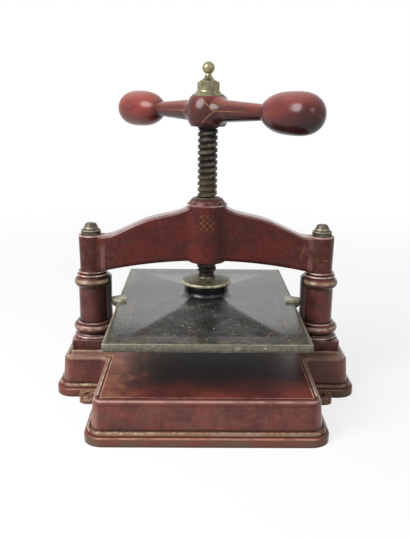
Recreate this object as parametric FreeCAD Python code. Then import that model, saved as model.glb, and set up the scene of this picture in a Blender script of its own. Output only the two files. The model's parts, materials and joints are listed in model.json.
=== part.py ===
import FreeCAD, Part
import math
import os

# A cast-iron screw press for copying letters and pressing books.
# Millimetres, +Z up. The origin is on the floor, below the middle of the screw.
# The press is 381 wide along X and 362 deep along Y, and its front faces -Y.

# Base casting: a bed that is long in Y, crossed by two ears in X that carry the columns
BED_WIDTH = 251.0
BED_DEPTH = 340.0
EAR_MARGIN = 32.7           # from a column's axis to the end of its ear
EAR_DEPTH = 91.0
BASE_HEIGHT = 49.6
OUTER_CORNER = 12.0         # plan radius of the eight outer corners at the top edge
INNER_CORNER = 7.0          # plan radius of the four inner corners at the top edge
SIDE_DRAFT = 3.0            # how far the side leans out on its way down
TOP_EDGE_ROUND = 5.0
GROOVE_INSET = 5.8          # line cut into the deck just inside its rounded edge
GROOVE_WIDTH = 1.5
GROOVE_DEPTH = 0.9
FOOT_REACH = 10.8           # foot moulding stands this far outside the top edge
FOOT_HEIGHT = 10.6
FOOT_ROUND = 3.0
FOOT_CORNER = 5.0           # plan radius of the foot's inner corners
BEAD_REACH = 7.2            # small moulding above the foot
BEAD_TOP = 15.8
BEAD_ROUND = 3.0
BASE_WALL = 9.0
DECK_THICKNESS = 11.0
PAD_RADIUS = 17.0           # pads below the ears that the lower washers bear on
PAD_DEPTH = 9.0
SHARPEST_CORNER = 2.0       # smallest plan radius inside the casting

# Screw-down lugs in the four inner corners of the foot
LUG_FROM_BED = 20.8         # from the bed's top edge to the holes
LUG_FROM_EAR = 20.5         # from the ear's top edge to the holes
LUG_RADIUS = 11.0
LUG_ROOT_CORNER = 0.5
LUG_HEIGHT = 9.5
LUG_HOLE_RADIUS = 3.5

# Columns
COLUMN_SPACING = 293.6
COLUMN_HEIGHT = 102.4
PLINTH_SIZE = 50.4
PLINTH_HEIGHT = 14.4
PLINTH_CORNER = 2.5
FOOT_RING_RADIUS = 24.8
FOOT_RING_HEIGHT = 4.0
NECK_RADIUS = 21.5          # hollow between the foot ring and the large round moulding
ROLL_RADIUS = 5.8           # section radius of the large round moulding
ROLL_REACH = 25.6
ROLL_CENTRE_RISE = 27.8     # above the deck
FILLET_RING_RADIUS = 20.6   # thin ring on top of the large round moulding
FILLET_RING_HEIGHT = 2.0
SHAFT_RADIUS = 17.9
CAPITAL_HEIGHT = 21.5
CAPITAL_REACH = 23.2        # widest part of the capital
CAPITAL_REACH_DROP = 13.6   # below the column's top, as the next drops are
CAPITAL_SWELL = (1.3, 3.4)  # its underside, in from the widest part and up from the bottom
CAPITAL_STEP_DROP = 7.0
LOWER_BEAD_RADIUS = 19.6
UPPER_BEAD_RADIUS = 17.7
BEAD_GROOVE_RADIUS = 16.5
LOWER_BEAD_DROP = 4.0
UPPER_BEAD_DROP = 2.8

# Rib on the inner side of each column, which guides the platen's lug
RIB_REACH = 24.2
RIB_WIDTH = 9.0
RIB_SLOPE_DROP = 8.0
RIB_TOP_REACH = 15.0        # of its sloping end, at the column's top

# Tie rods and their nuts
ROD_RADIUS = 6.35
ROD_HOLE_CLEARANCE = 0.3
ROD_ABOVE_NUT = 1.2
ROD_BELOW_NUT = 3.0
TOP_NUT_RADIUS = 12.4       # lowest of three steps
TOP_NUT_STEP_HEIGHT = 6.2
TOP_NUT_MIDDLE_FOOT = 10.2
TOP_NUT_MIDDLE_TOP = 9.2
TOP_NUT_MIDDLE_HEIGHT = 3.2
TOP_NUT_CROWN_FOOT = 8.5
TOP_NUT_CROWN_TOP = 7.2
TOP_NUT_CROWN_HEIGHT = 3.8
LOWER_NUT_FLATS = 22.2
LOWER_NUT_HEIGHT = 11.0
LOWER_NUT_CHAMFER = 1.4
WASHER_RADIUS = 15.0
WASHER_THICKNESS = 2.5

# Bridge, with its heights above the columns' tops
END_BOSS_TOP_RADIUS = 15.9
END_BOSS_BOTTOM_RADIUS = 15.0
END_BOSS_HEIGHT = 46.0
END_BOSS_ROUND = 1.2
ARM_THICKNESS = 27.0
ARM_EDGE_ROUND = 3.5
ARM_UNDERSIDE_MIDDLE = 14.7
ARM_UNDERSIDE_END = -3.4    # the arch's height on a column's axis
ARM_TOP_END = 45.4
ARM_HEEL_X = 123.3          # where the level end meets the steep rise
ARM_HEEL_RUN = 8.0          # how far the hollow turn at the heel reaches each way
ARM_SHOULDER_X = 98.0       # end of the steep rise
ARM_SHOULDER_Z = 57.2
ARM_CREST_X = 74.0          # middle of the turn to the gentle rise
ARM_CREST_Z = 67.4
ARM_WAIST_X = 46.0          # end of the gentle rise
ARM_WAIST_Z = 74.2
ARM_ROOT_Z = 84.0
ARM_ROOT_SINK = 3.0         # how far the arms' outline runs into the boss
ARM_ROOT_SAG = 0.36         # height share of the hollow at half its run
CENTRE_FLARE = 14.0         # hollow corners between the arms and the bosses
END_FLARE = 14.0
BOSS_RADIUS = 24.6
BOSS_BOTTOM = 12.5
BOSS_BOTTOM_ROUND = 2.0
BOSS_BEAD_Z = 84.6
BOSS_BEAD_HEIGHT = 1.8
BOSS_BEAD_STANDOUT = 0.7
BOSS_TOP = 93.6
BOSS_SHOULDER_INSET = 0.9
BOSS_TOP_RADIUS = 17.9
BOSS_DOME = (20.9, 90.7)    # a point on the dome, radius and height

# Threaded bush in the centre boss, and the screw that locks it, in the bridge's heights
BUSH_RADIUS = 15.6
BUSH_LENGTH = 48.0
BUSH_STANDOUT = 0.9
BUSH_EDGE = 0.8
LOCK_SCREW_RADIUS = 2.4
LOCK_SCREW_LENGTH = 7.2
LOCK_SCREW_Z = 88.6
LOCK_SCREW_ANGLE = -43.5
LOCK_SCREW_BITE = 1.4       # how far its point enters the bush

# Main screw
SCREW_RADIUS = 12.5
RUNNING_CLEARANCE = 0.1
BORE_CLEARANCE = 0.8        # round the screw, in the bridge casting
SCREW_LENGTH = 219.9        # from its foot to the shoulder that the handle's hub rests on
SHOULDER_LENGTH = 2.2
RELIEF_RADIUS = 9.9         # groove where the thread runs out below the shoulder
RELIEF_LENGTH = 4.6
THREAD_ABOVE_CAP = 6.2      # where the thread starts
JOURNAL_RADIUS = 10.6
SCREW_FOOT_GAP = 0.3
SQUARE_WIDTH = 17.0
SQUARE_FIT = 0.1
SQUARE_LENGTH = 33.0
STUD_RADIUS = 7.9
STUD_LENGTH = 19.0
ENTRY_CHAMFER = 1.5

# Collar that takes the thrust inside the platen's boss, with its pin
THRUST_RADIUS = 16.0
THRUST_THICKNESS = 10.0
THRUST_PIN_RADIUS = 2.5
THRUST_PIN_SHORT = 0.5      # how far the pin ends below the collar's rim
THRUST_GAP = 0.3

# Platen
PLATEN_WIDTH = 228.6
PLATEN_DEPTH = 322.6
PLATEN_RAISED = 52.9        # above the bed, as it is drawn
PLATEN_EDGE = 8.5
PLATEN_CORNER = 3.0
PLATEN_EDGE_ROUND = 1.4
MARGIN = 28.0               # flat border round the raised centre
RAISED_HEIGHT = 13.0
RAISED_SAG = 2.1            # how far the slopes hang below straight lines
RAISED_TOP_SHARE = 0.17     # where the slopes end, as a share of their run
PLATEN_BOSS_RADIUS = 28.3
PLATEN_BOSS_HEIGHT = 23.9   # above the flat border
SKIRT_REACH = 8.7           # hollow foot of the boss, which runs out under the slopes
SKIRT_TOP = 16.0            # its heights above the flat border
SKIRT_BOTTOM = 6.3
SKIRT_HOLLOW = (2.0, 10.8)
POCKET_FLOOR_RISE = 2.0     # above the flat border
POCKET_RADIUS = 19.0
GUIDE_LUG_WIDTH = 20.0
GUIDE_NOSE_WIDTH = 10.0
GUIDE_LUG_INSET = 11.0
GUIDE_LUG_RISE = 3.2
GUIDE_NOSE_DEPTH = 7.5
GUIDE_GAP = 0.4

# Cap that holds the screw down in the platen's boss
CAP_RADIUS = 32.3
CAP_EDGE = 4.3
CAP_EDGE_UNDERCUT = 1.6
CAP_EDGE_ROUND = 1.0
CAP_LIP = 3.0               # flat ring inside the rim
CAP_CROWN = 4.0
CAP_CROWN_SHARE = 0.62
CAP_HUB_RADIUS = 12.6
CAP_HUB_HEIGHT = 1.6
CAP_HUB_TAPER = 0.6
CAP_SPIGOT_LENGTH = 9.3
CAP_NOTCH_WIDTH = 4.0
CAP_NOTCH_DEPTH = 2.6
CAP_NOTCH_ANGLE = -35.0

# Handle
HANDLE_ANGLE = -49.3        # direction of the right-hand grip, about +Z from +X
HUB_HEIGHT = 35.8
HUB_FLAT_RADIUS = 20.9
HUB_BULGE_RADIUS = 26.7
HANDLE_AXIS_RISE = 18.6
ARM_FLARE_RADIUS = 17.0     # where the arms leave the hub
ARM_FLARE_START = 21.5
ARM_FLARE_HOLLOW = (13.7, 29.0)
ARM_ROOT_RADIUS = 12.5
ARM_ROOT_REACH = 38.0
ARM_NECK_RADIUS = 8.9
NECK_REACH = 95.5
NECK_LEDGE = 1.0            # step from the neck up to the grip
GRIP_WIDEST_REACH = 137.5
GRIP_RADIUS = 23.2
GRIP_END_REACH = 175.0
GRIP_END_FLAT = 5.0
GRIP_INNER_HOLD = (0.42, 0.77)  # shares of the run and of the rise from neck to widest
GRIP_OUTER_HOLD = (0.73, 0.81)  # share of the run from widest to end, share of the radius

# Flared washer and cap nut on top of the handle
FLARE_FOOT_RADIUS = 19.6
FLARE_TOP_RADIUS = 14.0
FLARE_RIM = 1.6
FLARE_HEIGHT = 6.2
FLARE_HOLLOW = (1.3, 2.4)
CAP_NUT_FLATS = 23.6
CAP_NUT_ANGLE = -11.0
CAP_NUT_HEIGHT = 10.4
CAP_NUT_CHAMFER = 1.2
CAP_NUT_SHOULDER_RADIUS = 10.8
CAP_NUT_SHOULDER = 1.0
SPIRE_HEIGHT = 8.4
SPIRE_FOOT_RADIUS = 10.2
SPIRE_HOLLOW = (5.4, 0.42)  # radius, and share of the spire's height
SPIRE_NECK_RADIUS = 3.3
BALL_RADIUS = 7.4
BALL_SINK = 0.9             # how far the ball's lowest point lies in the spire

# Dimensions that follow from the ones above
PLINTH_TOP = BASE_HEIGHT + PLINTH_HEIGHT
COLUMN_TOP = BASE_HEIGHT + COLUMN_HEIGHT
END_BOSS_TOP = COLUMN_TOP + END_BOSS_HEIGHT
PLATEN_BOTTOM = BASE_HEIGHT + PLATEN_RAISED
PLATEN_TOP = PLATEN_BOTTOM + PLATEN_EDGE
PLATEN_BOSS_TOP = PLATEN_TOP + PLATEN_BOSS_HEIGHT
POCKET_FLOOR = PLATEN_TOP + POCKET_FLOOR_RISE
COLUMN_X = COLUMN_SPACING / 2
EAR_SPAN = COLUMN_SPACING + 2 * EAR_MARGIN
LUG_X = BED_WIDTH / 2 + LUG_FROM_BED
LUG_Y = EAR_DEPTH / 2 + LUG_FROM_EAR
DECK_UNDERSIDE = BASE_HEIGHT - DECK_THICKNESS
PAD_BOTTOM = DECK_UNDERSIDE - PAD_DEPTH
ROD_HOLE_RADIUS = ROD_RADIUS + ROD_HOLE_CLEARANCE
TOP_NUT_TOP = END_BOSS_TOP + TOP_NUT_STEP_HEIGHT + TOP_NUT_MIDDLE_HEIGHT + TOP_NUT_CROWN_HEIGHT
CAP_TOP = PLATEN_BOSS_TOP + CAP_EDGE
THREAD_BOTTOM_Z = CAP_TOP + CAP_CROWN + CAP_HUB_HEIGHT + THREAD_ABOVE_CAP
SCREW_SHOULDER_Z = POCKET_FLOOR + SCREW_FOOT_GAP + SCREW_LENGTH
SPIGOT_BOTTOM = PLATEN_BOSS_TOP - CAP_SPIGOT_LENGTH
THRUST_TOP = SPIGOT_BOTTOM - THRUST_GAP
THRUST_PIN_Z = THRUST_TOP - THRUST_THICKNESS / 2
BUSH_TOP = BOSS_TOP + BUSH_STANDOUT
BUSH_BOTTOM = BUSH_TOP - BUSH_LENGTH
HUB_TOP = SCREW_SHOULDER_Z + HUB_HEIGHT
HANDLE_AXIS_Z = SCREW_SHOULDER_Z + HANDLE_AXIS_RISE
FLARE_TOP = HUB_TOP + FLARE_HEIGHT
SQUARE_TOP = SCREW_SHOULDER_Z + SQUARE_LENGTH
STUD_TOP = SQUARE_TOP + STUD_LENGTH
SIDES = {"left": -1, "right": 1}

CORNER_SHARE = 1 / math.cos(math.radians(30))   # a hexagon's corners, as a share of its flats
BEYOND = 1.0                # how far a cutting tool runs past what it cuts
TOUCH = 1e-4
Z_AXIS = FreeCAD.Vector(0, 0, 1)
X_AXIS = FreeCAD.Vector(1, 0, 0)
Y_AXIS = FreeCAD.Vector(0, 1, 0)
ORIGIN = FreeCAD.Vector(0, 0, 0)


def vec(x, y, z):
    return FreeCAD.Vector(x, y, z)


def cylinder(radius, bottom, top, x=0.0, y=0.0):
    return Part.makeCylinder(radius, top - bottom, vec(x, y, bottom))


def block(x, y, z):
    """A box from three (low, high) pairs."""
    return Part.makeBox(x[1] - x[0], y[1] - y[0], z[1] - z[0], vec(x[0], y[0], z[0]))


def arc(start, through, end):
    return Part.Arc(start, through, end).toShape()


def turned(outline):
    """A turned solid from corners (r, z), and from pairs of them (through, end) for an arc."""
    edges = []
    here = None
    for step in outline + outline[:1]:
        curved = isinstance(step[0], tuple)
        end = vec(step[1][0], 0, step[1][1]) if curved else vec(step[0], 0, step[1])
        if here is not None and curved:
            edges.append(arc(here, vec(step[0][0], 0, step[0][1]), end))
        elif here is not None:
            edges.append(Part.makeLine(here, end))
        here = end
    return Part.Face(Part.Wire(edges)).revolve(ORIGIN, Z_AXIS, 360)


def corner_arc(before, corner, after, run):
    """An arc that rounds a corner, starting and ending at a distance run from it."""
    back = (before - corner).normalize()
    ahead = (after - corner).normalize()
    half = back.getAngle(ahead) / 2
    middle = (back + ahead).normalize() * (run / math.cos(half) - run * math.tan(half))
    return arc(corner + back * run, corner + middle, corner + ahead * run)


def rounded_outline(corners, z):
    """A closed outline at height z. Each corner is (x, y, radius), and its two sides are square."""
    points = [vec(x, y, z) for x, y, radius in corners]
    following = points[1:] + points[:1]
    edges = []
    for i, (x, y, radius) in enumerate(corners):
        edges.append(corner_arc(points[i - 1], points[i], following[i], radius))
    ends = [edge.Vertexes for edge in edges]
    for i in range(len(ends)):
        edges.append(Part.makeLine(ends[i - 1][1].Point, ends[i][0].Point))
    return Part.Wire(Part.__sortEdges__(edges))


def cross(offset, inner_radius, z):
    """The base's outline, moved outward by offset from the top edge."""
    bed_x = BED_WIDTH / 2 + offset
    bed_y = BED_DEPTH / 2 + offset
    ear_x = EAR_SPAN / 2 + offset
    ear_y = EAR_DEPTH / 2 + offset
    outer = max(OUTER_CORNER + offset, SHARPEST_CORNER)
    corners = [
        (bed_x, -bed_y, outer),
        (bed_x, -ear_y, inner_radius),
        (ear_x, -ear_y, outer),
        (ear_x, ear_y, outer),
        (bed_x, ear_y, inner_radius),
        (bed_x, bed_y, outer),
    ]
    corners += [(-x, -y, radius) for x, y, radius in corners]
    return rounded_outline(corners, z)


def plate(wire, height):
    return Part.Face(wire).extrude(vec(0, 0, height))


def edges_at(shape, z):
    """The edges of a shape that lie wholly at height z."""
    low = [e for e in shape.Edges if abs(e.BoundBox.ZMin - z) < TOUCH]
    return [e for e in low if abs(e.BoundBox.ZMax - z) < TOUCH]


def hexagon(flats, bottom, top, turn=0.0):
    corner = flats / 2 * CORNER_SHARE
    turns = [math.radians(60 * i + turn) for i in range(7)]
    points = [vec(corner * math.cos(a), corner * math.sin(a), bottom) for a in turns]
    return Part.Face(Part.makePolygon(points)).extrude(vec(0, 0, top - bottom))


def pierced(shape, radius, x=0.0):
    """shape with a round vertical hole right through it."""
    box = shape.BoundBox
    return shape.cut(cylinder(radius, box.ZMin - BEYOND, box.ZMax + BEYOND, x))


def base():
    foot = plate(cross(FOOT_REACH, FOOT_CORNER, 0.0), FOOT_HEIGHT)
    foot = foot.makeFillet(FOOT_ROUND, edges_at(foot, FOOT_HEIGHT))
    bead = plate(cross(BEAD_REACH, FOOT_CORNER, 0.0), BEAD_TOP)
    bead = bead.makeFillet(BEAD_ROUND, edges_at(bead, BEAD_TOP))
    low = cross(SIDE_DRAFT, INNER_CORNER - SIDE_DRAFT, FOOT_HEIGHT)
    high = cross(0.0, INNER_CORNER, BASE_HEIGHT)
    body = Part.makeLoft([low, high], True, True)
    body = body.makeFillet(TOP_EDGE_ROUND, edges_at(body, BASE_HEIGHT))
    solid = foot.fuse([bead, body])
    solid = solid.fuse([lug(sx, sy) for sx in (-1, 1) for sy in (-1, 1)])
    solid = solid.cut([hollow(), deck_groove()])
    pad_top = DECK_UNDERSIDE + BEYOND
    solid = solid.fuse([cylinder(PAD_RADIUS, PAD_BOTTOM, pad_top, s * COLUMN_X) for s in SIDES.values()])
    for sx in (-1, 1):
        solid = pierced(solid, ROD_HOLE_RADIUS, sx * COLUMN_X)
        for sy in (-1, 1):
            hole = cylinder(LUG_HOLE_RADIUS, -BEYOND, LUG_HEIGHT + BEYOND, sx * LUG_X, sy * LUG_Y)
            solid = solid.cut(hole)
    return solid.removeSplitter()


def lug(sx, sy):
    """A rounded lug in the corner between the bed's foot and the ear's foot."""
    x_in = BED_WIDTH / 2 + BEAD_REACH
    y_in = EAR_DEPTH / 2 + BEAD_REACH
    x_out = LUG_X + LUG_RADIUS
    y_out = LUG_Y + LUG_RADIUS
    corners = [
        (x_in, y_in, LUG_ROOT_CORNER),
        (x_out, y_in, LUG_ROOT_CORNER),
        (x_out, y_out, LUG_RADIUS - LUG_ROOT_CORNER),
        (x_in, y_out, LUG_ROOT_CORNER),
    ]
    corners = [(sx * x, sy * y, radius) for x, y, radius in corners]
    return plate(rounded_outline(corners, 0.0), LUG_HEIGHT)


def hollow():
    """The space inside the base casting, open at the floor."""
    low = cross(SIDE_DRAFT - BASE_WALL, INNER_CORNER + BASE_WALL - SIDE_DRAFT, -BEYOND)
    high = cross(-BASE_WALL, INNER_CORNER + BASE_WALL, DECK_UNDERSIDE)
    return Part.makeLoft([low, high], True, True)


def deck_groove():
    bottom = BASE_HEIGHT - GROOVE_DEPTH
    outside = plate(cross(-GROOVE_INSET, INNER_CORNER + GROOVE_INSET, bottom), 2 * GROOVE_DEPTH)
    inset = GROOVE_INSET + GROOVE_WIDTH
    return outside.cut(plate(cross(-inset, INNER_CORNER + inset, bottom), 2 * GROOVE_DEPTH))


def column_mouldings():
    """The turned part of a column, on the axis Z."""
    roll_axis = ROLL_REACH - ROLL_RADIUS
    roll_centre = BASE_HEIGHT + ROLL_CENTRE_RISE
    roll_bottom = roll_centre - ROLL_RADIUS
    roll_top = roll_centre + ROLL_RADIUS
    ring_top = PLINTH_TOP + FOOT_RING_HEIGHT
    shaft_bottom = roll_top + FILLET_RING_HEIGHT
    ring_edge = FOOT_RING_RADIUS - FOOT_RING_HEIGHT / 2
    ring_bulge = (FOOT_RING_RADIUS, (PLINTH_TOP + ring_top) / 2)
    neck_hollow = (NECK_RADIUS, (ring_top + roll_bottom) / 2)
    capital_bottom = COLUMN_TOP - CAPITAL_HEIGHT
    reach_z = COLUMN_TOP - CAPITAL_REACH_DROP
    step_z = COLUMN_TOP - CAPITAL_STEP_DROP
    lower_bead_top = COLUMN_TOP - LOWER_BEAD_DROP
    upper_bead_bottom = COLUMN_TOP - UPPER_BEAD_DROP
    swell_r, swell_z = CAPITAL_SWELL
    swell = (CAPITAL_REACH - swell_r, capital_bottom + swell_z)
    shoulder = ((CAPITAL_REACH + LOWER_BEAD_RADIUS) / 2, (reach_z + step_z) / 2)
    lower_bead = (LOWER_BEAD_RADIUS, (step_z + lower_bead_top) / 2)
    upper_bead = (UPPER_BEAD_RADIUS, (upper_bead_bottom + COLUMN_TOP) / 2)
    return turned([
        (0, BASE_HEIGHT),
        (ring_edge, BASE_HEIGHT),
        (ring_edge, PLINTH_TOP),
        (ring_bulge, (ring_edge, ring_top)),
        (neck_hollow, (roll_axis, roll_bottom)),
        ((ROLL_REACH, roll_centre), (roll_axis, roll_top)),
        (FILLET_RING_RADIUS, roll_top),
        (FILLET_RING_RADIUS, shaft_bottom),
        (SHAFT_RADIUS, shaft_bottom),
        (SHAFT_RADIUS, capital_bottom),
        (swell, (CAPITAL_REACH, reach_z)),
        (shoulder, (SHAFT_RADIUS, step_z)),
        (lower_bead, (SHAFT_RADIUS, lower_bead_top)),
        (BEAD_GROOVE_RADIUS, lower_bead_top),
        (BEAD_GROOVE_RADIUS, upper_bead_bottom),
        (upper_bead, (BEAD_GROOVE_RADIUS, COLUMN_TOP)),
        (0, COLUMN_TOP),
    ])


def guide_rib():
    """The rib of a column on the axis Z, on its +X side."""
    root = SHAFT_RADIUS / 2
    corners = [
        (root, PLINTH_TOP),
        (RIB_REACH, PLINTH_TOP),
        (RIB_REACH, COLUMN_TOP - RIB_SLOPE_DROP),
        (RIB_TOP_REACH, COLUMN_TOP),
        (root, COLUMN_TOP),
    ]
    points = [vec(x, -RIB_WIDTH / 2, z) for x, z in corners + corners[:1]]
    return Part.Face(Part.makePolygon(points)).extrude(vec(0, RIB_WIDTH, 0))


def column(side):
    half = PLINTH_SIZE / 2
    sign_corners = [(1, -1), (1, 1), (-1, 1), (-1, -1)]
    corners = [(half * sx, half * sy, PLINTH_CORNER) for sx, sy in sign_corners]
    outline = rounded_outline(corners, BASE_HEIGHT)
    solid = column_mouldings().fuse([plate(outline, PLINTH_HEIGHT), guide_rib()])
    planed = block((RIB_REACH, RIB_REACH + half), (-PLINTH_SIZE, PLINTH_SIZE), (0, COLUMN_TOP))
    solid = pierced(solid.cut(planed), ROD_HOLE_RADIUS).removeSplitter()
    if side > 0:
        solid.rotate(ORIGIN, Z_AXIS, 180)
    solid.translate(vec(side * COLUMN_X, 0, 0))
    return solid


def tie_rod(side):
    x = side * COLUMN_X
    bottom = PAD_BOTTOM - WASHER_THICKNESS - LOWER_NUT_HEIGHT - ROD_BELOW_NUT
    top = TOP_NUT_TOP + ROD_ABOVE_NUT
    rod = cylinder(ROD_RADIUS, bottom, top, x)
    rod = rod.makeFillet(ROD_ABOVE_NUT, edges_at(rod, top))
    return rod.makeChamfer(ENTRY_CHAMFER, edges_at(rod, bottom))


def top_nut(side):
    """A round nut in three steps, each smaller than the one below."""
    step_top = END_BOSS_TOP + TOP_NUT_STEP_HEIGHT
    middle_top = step_top + TOP_NUT_MIDDLE_HEIGHT
    edge = END_BOSS_ROUND / 2
    nut = turned([
        (ROD_RADIUS, END_BOSS_TOP),
        (TOP_NUT_RADIUS, END_BOSS_TOP),
        (TOP_NUT_RADIUS, step_top - edge),
        (TOP_NUT_RADIUS - edge, step_top),
        (TOP_NUT_MIDDLE_FOOT, step_top),
        (TOP_NUT_MIDDLE_TOP, middle_top),
        (TOP_NUT_CROWN_FOOT, middle_top),
        (TOP_NUT_CROWN_TOP, TOP_NUT_TOP),
        (ROD_RADIUS, TOP_NUT_TOP),
    ])
    nut.translate(vec(side * COLUMN_X, 0, 0))
    return nut


def lower_washer(side):
    washer = cylinder(WASHER_RADIUS, PAD_BOTTOM - WASHER_THICKNESS, PAD_BOTTOM, side * COLUMN_X)
    return pierced(washer, ROD_HOLE_RADIUS, side * COLUMN_X)


def lower_nut(side):
    top = PAD_BOTTOM - WASHER_THICKNESS
    bottom = top - LOWER_NUT_HEIGHT
    corner = LOWER_NUT_FLATS / 2 * CORNER_SHARE
    blank = turned([
        (0, bottom),
        (corner - LOWER_NUT_CHAMFER, bottom),
        (corner, bottom + LOWER_NUT_CHAMFER),
        (corner, top),
        (0, top),
    ])
    nut = pierced(hexagon(LOWER_NUT_FLATS, bottom, top).common(blank), ROD_RADIUS)
    nut.translate(vec(side * COLUMN_X, 0, 0))
    return nut


def mirrored(edges, normal):
    return [e.mirror(ORIGIN, normal) for e in edges]


def arms_from_front():
    """The arms' outline seen from the front, extruded past both sides."""
    depth = BOSS_RADIUS + BEYOND

    def at(x, z):
        return vec(x, -depth, z)

    shoulder = at(ARM_SHOULDER_X, ARM_SHOULDER_Z)
    waist = at(ARM_WAIST_X, ARM_WAIST_Z)
    heel = at(ARM_HEEL_X, ARM_TOP_END)
    end = at(COLUMN_X, ARM_TOP_END)
    turn = corner_arc(shoulder, heel, end, ARM_HEEL_RUN)
    root_x = BOSS_RADIUS - ARM_ROOT_SINK
    root = at(root_x, ARM_ROOT_Z)
    sag = at((ARM_WAIST_X + root_x) / 2, ARM_WAIST_Z + (ARM_ROOT_Z - ARM_WAIST_Z) * ARM_ROOT_SAG)
    rise_start = turn.Vertexes[0].Point
    top = Part.BSplineCurve()
    top.interpolate([rise_start, shoulder, at(ARM_CREST_X, ARM_CREST_Z), waist, sag, root])
    right = [
        Part.makeLine(at(COLUMN_X, ARM_UNDERSIDE_END), end),
        Part.makeLine(end, turn.Vertexes[1].Point),
        turn,
        top.toShape(),
    ]
    underside = arc(
        at(COLUMN_X, ARM_UNDERSIDE_END), at(0, ARM_UNDERSIDE_MIDDLE), at(-COLUMN_X, ARM_UNDERSIDE_END)
    )
    middle = Part.makeLine(root, at(-root_x, ARM_ROOT_Z))
    edges = right + mirrored(right, X_AXIS) + [underside, middle]
    return Part.Face(Part.Wire(Part.__sortEdges__(edges))).extrude(vec(0, 2 * depth, 0))


def flare(boss_x, boss_radius, radius, toward):
    """The hollow corner between an arm's front face and a boss, from the face to the boss."""
    face_y = ARM_THICKNESS / 2
    centre_y = face_y + radius
    reach = boss_radius + radius
    centre_x = math.sqrt(reach ** 2 - centre_y ** 2)
    centre = vec(boss_x + toward * centre_x, -centre_y, 0)
    on_face = centre + vec(0, radius, 0)
    on_boss = centre + vec(-toward * centre_x, centre_y, 0) * (radius / reach)
    middle = (on_face + on_boss) * 0.5 - centre
    return on_face, centre + middle.normalize() * radius, on_boss


def arms_from_above():
    """The arms' outline seen from above, extruded past their top and bottom."""
    near = flare(0.0, BOSS_RADIUS, CENTRE_FLARE, 1)
    far = flare(COLUMN_X, END_BOSS_BOTTOM_RADIUS, END_FLARE, -1)
    front = [
        Part.makeLine(vec(0, near[2].y, 0), near[2]),
        arc(*near),
        Part.makeLine(near[0], far[0]),
        arc(*far),
        Part.makeLine(far[2], vec(COLUMN_X, far[2].y, 0)),
    ]
    half = front + mirrored(front, Y_AXIS)
    half.append(Part.makeLine(vec(COLUMN_X, far[2].y, 0), vec(COLUMN_X, -far[2].y, 0)))
    edges = half + mirrored(half, X_AXIS)
    outline = Part.Wire(Part.__sortEdges__(edges))
    solid = Part.Face(outline).extrude(vec(0, 0, BOSS_TOP - 2 * ARM_UNDERSIDE_END))
    solid.translate(vec(0, 0, 2 * ARM_UNDERSIDE_END))
    return solid


def arms():
    """Both arms, with their long edges rounded."""
    solid = arms_from_front().common(arms_from_above())
    long_edges = []
    for e in solid.Edges:
        box = e.BoundBox
        on_a_side = box.YLength < TOUCH and abs(abs(box.Center.y) - ARM_THICKNESS / 2) < TOUCH
        if on_a_side and box.XLength > ARM_EDGE_ROUND:
            long_edges.append(e)
    return solid.makeFillet(ARM_EDGE_ROUND, long_edges)


def centre_boss():
    bead_top = BOSS_BEAD_Z + BOSS_BEAD_HEIGHT
    bead_middle = (BOSS_RADIUS + BOSS_BEAD_STANDOUT, BOSS_BEAD_Z + BOSS_BEAD_HEIGHT / 2)
    quarter = BOSS_BOTTOM_ROUND * (1 - math.sqrt(0.5))
    return turned([
        (0, BOSS_BOTTOM),
        (BOSS_RADIUS - BOSS_BOTTOM_ROUND, BOSS_BOTTOM),
        ((BOSS_RADIUS - quarter, BOSS_BOTTOM + quarter), (BOSS_RADIUS, BOSS_BOTTOM + BOSS_BOTTOM_ROUND)),
        (BOSS_RADIUS, BOSS_BEAD_Z),
        (bead_middle, (BOSS_RADIUS - BOSS_SHOULDER_INSET, bead_top)),
        (BOSS_DOME, (BOSS_TOP_RADIUS, BOSS_TOP)),
        (0, BOSS_TOP),
    ])


def bridge():
    solid = centre_boss().fuse(arms())
    for s in SIDES.values():
        x = s * COLUMN_X
        end = Part.makeCone(END_BOSS_BOTTOM_RADIUS, END_BOSS_TOP_RADIUS, END_BOSS_HEIGHT, vec(x, 0, 0))
        solid = solid.fuse(end.makeFillet(END_BOSS_ROUND, edges_at(end, END_BOSS_HEIGHT)))
        solid = pierced(solid, ROD_HOLE_RADIUS, x)
        beside = (x - ARM_THICKNESS, x + ARM_THICKNESS)
        solid = solid.cut(block(beside, (-ARM_THICKNESS, ARM_THICKNESS), (-ARM_THICKNESS, 0)))
    solid = pierced(solid, SCREW_RADIUS + BORE_CLEARANCE)
    return solid.cut([cylinder(BUSH_RADIUS, BUSH_BOTTOM, BOSS_TOP + BEYOND), lock_hole()]).removeSplitter()


def radial_pin(radius, start, length, z, angle):
    direction = vec(math.cos(math.radians(angle)), math.sin(math.radians(angle)), 0)
    return Part.makeCylinder(radius, length, direction * start + vec(0, 0, z), direction)


def lock_hole():
    start = BUSH_RADIUS - LOCK_SCREW_BITE
    return radial_pin(LOCK_SCREW_RADIUS, start, 2 * LOCK_SCREW_LENGTH, LOCK_SCREW_Z, LOCK_SCREW_ANGLE)


def bush():
    """The threaded bush, drawn at the crests of the screw it carries."""
    bore = SCREW_RADIUS + RUNNING_CLEARANCE
    blank = turned([
        (bore, BUSH_BOTTOM),
        (BUSH_RADIUS, BUSH_BOTTOM),
        (BUSH_RADIUS, BUSH_TOP - BUSH_EDGE),
        (BUSH_RADIUS - BUSH_EDGE, BUSH_TOP),
        (bore + ENTRY_CHAMFER, BUSH_TOP),
        (bore, BUSH_TOP - ENTRY_CHAMFER),
    ])
    return blank.cut(lock_hole())


def bush_lock_screw():
    start = BUSH_RADIUS - LOCK_SCREW_BITE
    return radial_pin(LOCK_SCREW_RADIUS, start, LOCK_SCREW_LENGTH, LOCK_SCREW_Z, LOCK_SCREW_ANGLE)


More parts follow.
